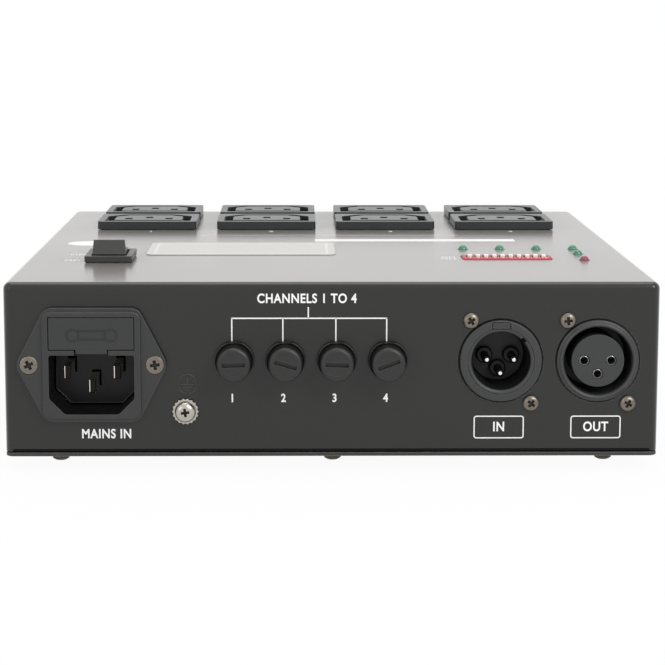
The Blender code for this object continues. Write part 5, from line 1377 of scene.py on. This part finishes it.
# Label plate. A pale polycarbonate plate is stuck to the lid behind the switch, with a paler
# border printed inside its edge. The places of its wording are bare.
LABEL_LOW = (-0.0570, -0.0339)
LABEL_HIGH = (0.0020, -0.0009)
LABEL_RISE = 0.00025
LABEL_CORNER = 0.0022
LABEL_MARGIN = 0.0021
LABEL_LINE = 0.0008
LABEL_INK_RISE = 0.00002

label_pale = finish("label_pale", (0.60, 0.59, 0.565), 0.36, (900.0, 60.0), (0.05, 0.10), (0.05, 0.00002),
                    highlight_colour=(0.80, 0.79, 0.77), highlight_spread=(0.5, 0.0003))
label_white = finish("label_white", (0.76, 0.755, 0.735), 0.5, (900.0, 90.0), (0.10, 0.12))


def flat_frame(name, low, high, bottom, top, corner, line):
    """A printed frame with round corners, lying flat."""
    made = begin_box(name, (*low, bottom), (*high, top))
    inner = begin_box("tool", (low[0] + line, low[1] + line, bottom - line),
                      (high[0] - line, high[1] - line, top + line))
    round_along(made, 2, corner)
    round_along(inner, 2, corner - line)
    cut(made, inner)
    return made


label = begin_box("label_plate", (*LABEL_LOW, LID_Z), (*LABEL_HIGH, LID_Z + LABEL_RISE))
round_along(label, 2, LABEL_CORNER, 8)
soften(label, 0.00008, 2)
dress(label, label_pale)
label_top = LID_Z + LABEL_RISE
dress(flat_frame("label_frame", [side + LABEL_MARGIN for side in LABEL_LOW],
                 [side - LABEL_MARGIN for side in LABEL_HIGH], label_top - LABEL_INK_RISE,
                 label_top + LABEL_INK_RISE, LABEL_CORNER / 2, LABEL_LINE), label_white)


# Printing. White ink is screened on lid and panel: a bracket with words over the fuses, plain
# numbers, ON and OFF beside the switches, the inlet's words, frames round IN and OUT, a thin
# line, a plain bar and a plain disc.
INK_RISE = 0.00002
CAPITAL = 1.37
CONDENSED = 0.84
SPACED = 1.10
BOLD = 0.00009
FINE = 0.00004
BRACKET_LINE = 0.00038
BRACKET_UP = 0.0383
BRACKET_STEM = (-0.0068, 0.0415)
BRACKET_FOOT = 0.03145
BRACKET_DROPS = (-0.02845, -0.0140, 0.0010, 0.0154)
HOLDER_NUMBER = (-0.0006, 0.0153, 0.0024)
PANEL_WORDS = [("CHANNELS 1 TO 4", 0.0027, -0.0072, 0.04385), ("MAINS IN", 0.0027, -0.0642, 0.0050),
               ("IN", 0.0028, 0.04752, 0.0069), ("OUT", 0.0028, 0.0752, 0.0069)]
SOCKET_FRAMES = ((0.04035, 0.0547), (0.0680, 0.0824))
SOCKET_FRAME_UP = (0.0036, 0.0102)
SOCKET_FRAME_CORNER = 0.0008
SOCKET_FRAME_LINE = 0.00033
LID_WORDS = [("ON", 0.0026, -0.0782, 0.0672), ("OFF", 0.0026, -0.0782, 0.0525),
             ("ON", 0.0024, 0.0368, 0.0605), ("OFF", 0.0024, 0.0368, 0.0560),
             ("1", 0.0030, -0.0600, 0.1355), ("2", 0.0030, -0.0188, 0.1355),
             ("3", 0.0030, 0.0221, 0.1355), ("4", 0.0030, 0.0633, 0.1355)]
DIP_NUMBER = (0.0014, 0.0015)
DISC = (-0.0779, 0.099, 0.0066)
LID_BARS = ((-0.0423, 0.0444, 0.12385, 0.12415), (-0.0040, 0.0620, 0.1050, 0.1115))

white_ink = finish("white_ink", (0.92, 0.92, 0.90), 0.45, (2200.0, 200.0), (0.10, 0.15), (0.1, 0.00001))


def text_mesh(words, height, place, facing=Matrix.Identity(4), boldness=BOLD):
    """Plain lettering, made a mesh at its place; height is that of a capital letter."""
    bpy.ops.object.select_all(action='DESELECT')
    bpy.ops.object.text_add()
    made = bpy.context.object
    settings = {"body": words, "align_x": 'CENTER', "align_y": 'CENTER', "size": height * CAPITAL,
                "extrude": INK_RISE / 2, "offset": boldness, "space_character": SPACED, "resolution_u": 6}
    for name, value in settings.items():
        setattr(made.data, name, value)
    bpy.ops.object.convert(target='MESH')
    settle(made, Matrix.Translation(place) @ facing @ Matrix.Diagonal((CONDENSED, 1, 1, 1)))
    return made


def panel_text(words, height, x, up):
    """Lettering on the connector panel."""
    return text_mesh(words, height, on_panel(x, up, INK_RISE / 2), Matrix.Rotation(math.pi / 2, 4, 'X'))


def panel_bar(x0, x1, up0, up1):
    """A printed bar on the panel."""
    return begin_box("bar", on_panel(x0, up0, INK_RISE), on_panel(x1, up1, -INK_RISE))


line = BRACKET_LINE / 2
ink = [panel_bar(BRACKET_DROPS[0] - line, BRACKET_DROPS[3] + line, BRACKET_UP - line, BRACKET_UP + line),
       panel_bar(BRACKET_STEM[0] - line, BRACKET_STEM[0] + line, BRACKET_UP, BRACKET_STEM[1])]
for x in BRACKET_DROPS:
    ink.append(panel_bar(x - line, x + line, BRACKET_FOOT, BRACKET_UP))
for text in PANEL_WORDS:
    ink.append(panel_text(*text))
aside, up, height = HOLDER_NUMBER
for number in range(1, 5):
    ink.append(panel_text(str(number), height, panel_of(f"fuse_holder_{number}")[0] + aside, up))
for x0, x1 in SOCKET_FRAMES:
    outline = flat_frame("outline", (x0, SOCKET_FRAME_UP[0]), (x1, SOCKET_FRAME_UP[1]), -INK_RISE, INK_RISE,
                         SOCKET_FRAME_CORNER, SOCKET_FRAME_LINE)
    settle(outline, upright(0, 0))
    ink.append(outline)
dress(join("panel_printing", ink), white_ink, angle=None)

ink = [text_mesh(words, height, (x, PANEL_Y + y, LID_Z + INK_RISE / 2)) for words, height, x, y in LID_WORDS]
for number in range(1, 11):
    low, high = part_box(f"dip_slider_{number}")
    place = ((low.x + high.x) / 2, dip_low.y + DIP_NUMBER[0], dip_high.z + INK_RISE / 2)
    ink.append(text_mesh(str(number), DIP_NUMBER[1], place, boldness=FINE))
ink.append(round_tool((DISC[0], PANEL_Y + DISC[1], LID_Z), UPWARDS, DISC[2], INK_RISE, 96))
for x0, x1, y0, y1 in LID_BARS:
    ink.append(begin_box("bar", (x0, PANEL_Y + y0, LID_Z - INK_RISE), (x1, PANEL_Y + y1, LID_Z + INK_RISE)))
dress(join("lid_printing", ink), white_ink, angle=None)


# Boards and transformer. They hang below the lid and stand on the floor, out of sight: green
# lacquered boards with dark parts on them, and a laminated iron core with its taped coil.
BOARD = 0.0016
LACQUER = (0.02, 0.13, 0.05)
LACQUER_ROUGHNESS = 0.4
PARTS_BLACK = (0.02, 0.02, 0.02)
RELAY_BLUE = (0.03, 0.10, 0.30)


def two_level(name, parts, beyond, height):
    """A board's material: its lacquer, and another colour for all that stands off it."""
    material = finish(name, LACQUER, LACQUER_ROUGHNESS, (800.0, 120.0), (0.2, 0.12))
    tree = material.node_tree
    base = tree.nodes['Principled BSDF'].inputs['Base Color']
    axes = put(tree, 'SeparateXYZ', {'Vector': put(tree, 'TexCoord').outputs['Object']})
    past = compute(tree, beyond, axes.outputs['Z'], height)
    colours = put(tree, 'Mix', {0: past, 6: base.links[0].from_socket, 7: (*parts, 1.0)}, data_type='RGBA')
    tree.links.new(colours.outputs[2], base)
    return material


control_green = two_level("control_board_green", PARTS_BLACK, 'LESS_THAN',
                          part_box("control_board")[1].z - BOARD - TINY)
relay_green = two_level("relay_board_green", RELAY_BLUE, 'GREATER_THAN',
                        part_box("relay_board")[0].z + BOARD + TINY)
laminated_iron = finish("laminated_iron", (0.16, 0.15, 0.14), 0.5, (700.0, 60.0), (0.3, 0.12), Metallic=0.6)
for node, material in (("control_board", control_green), ("relay_board", relay_green),
                       ("transformer", laminated_iron)):
    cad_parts[node].data.materials.clear()
    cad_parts[node].data.materials.append(material)
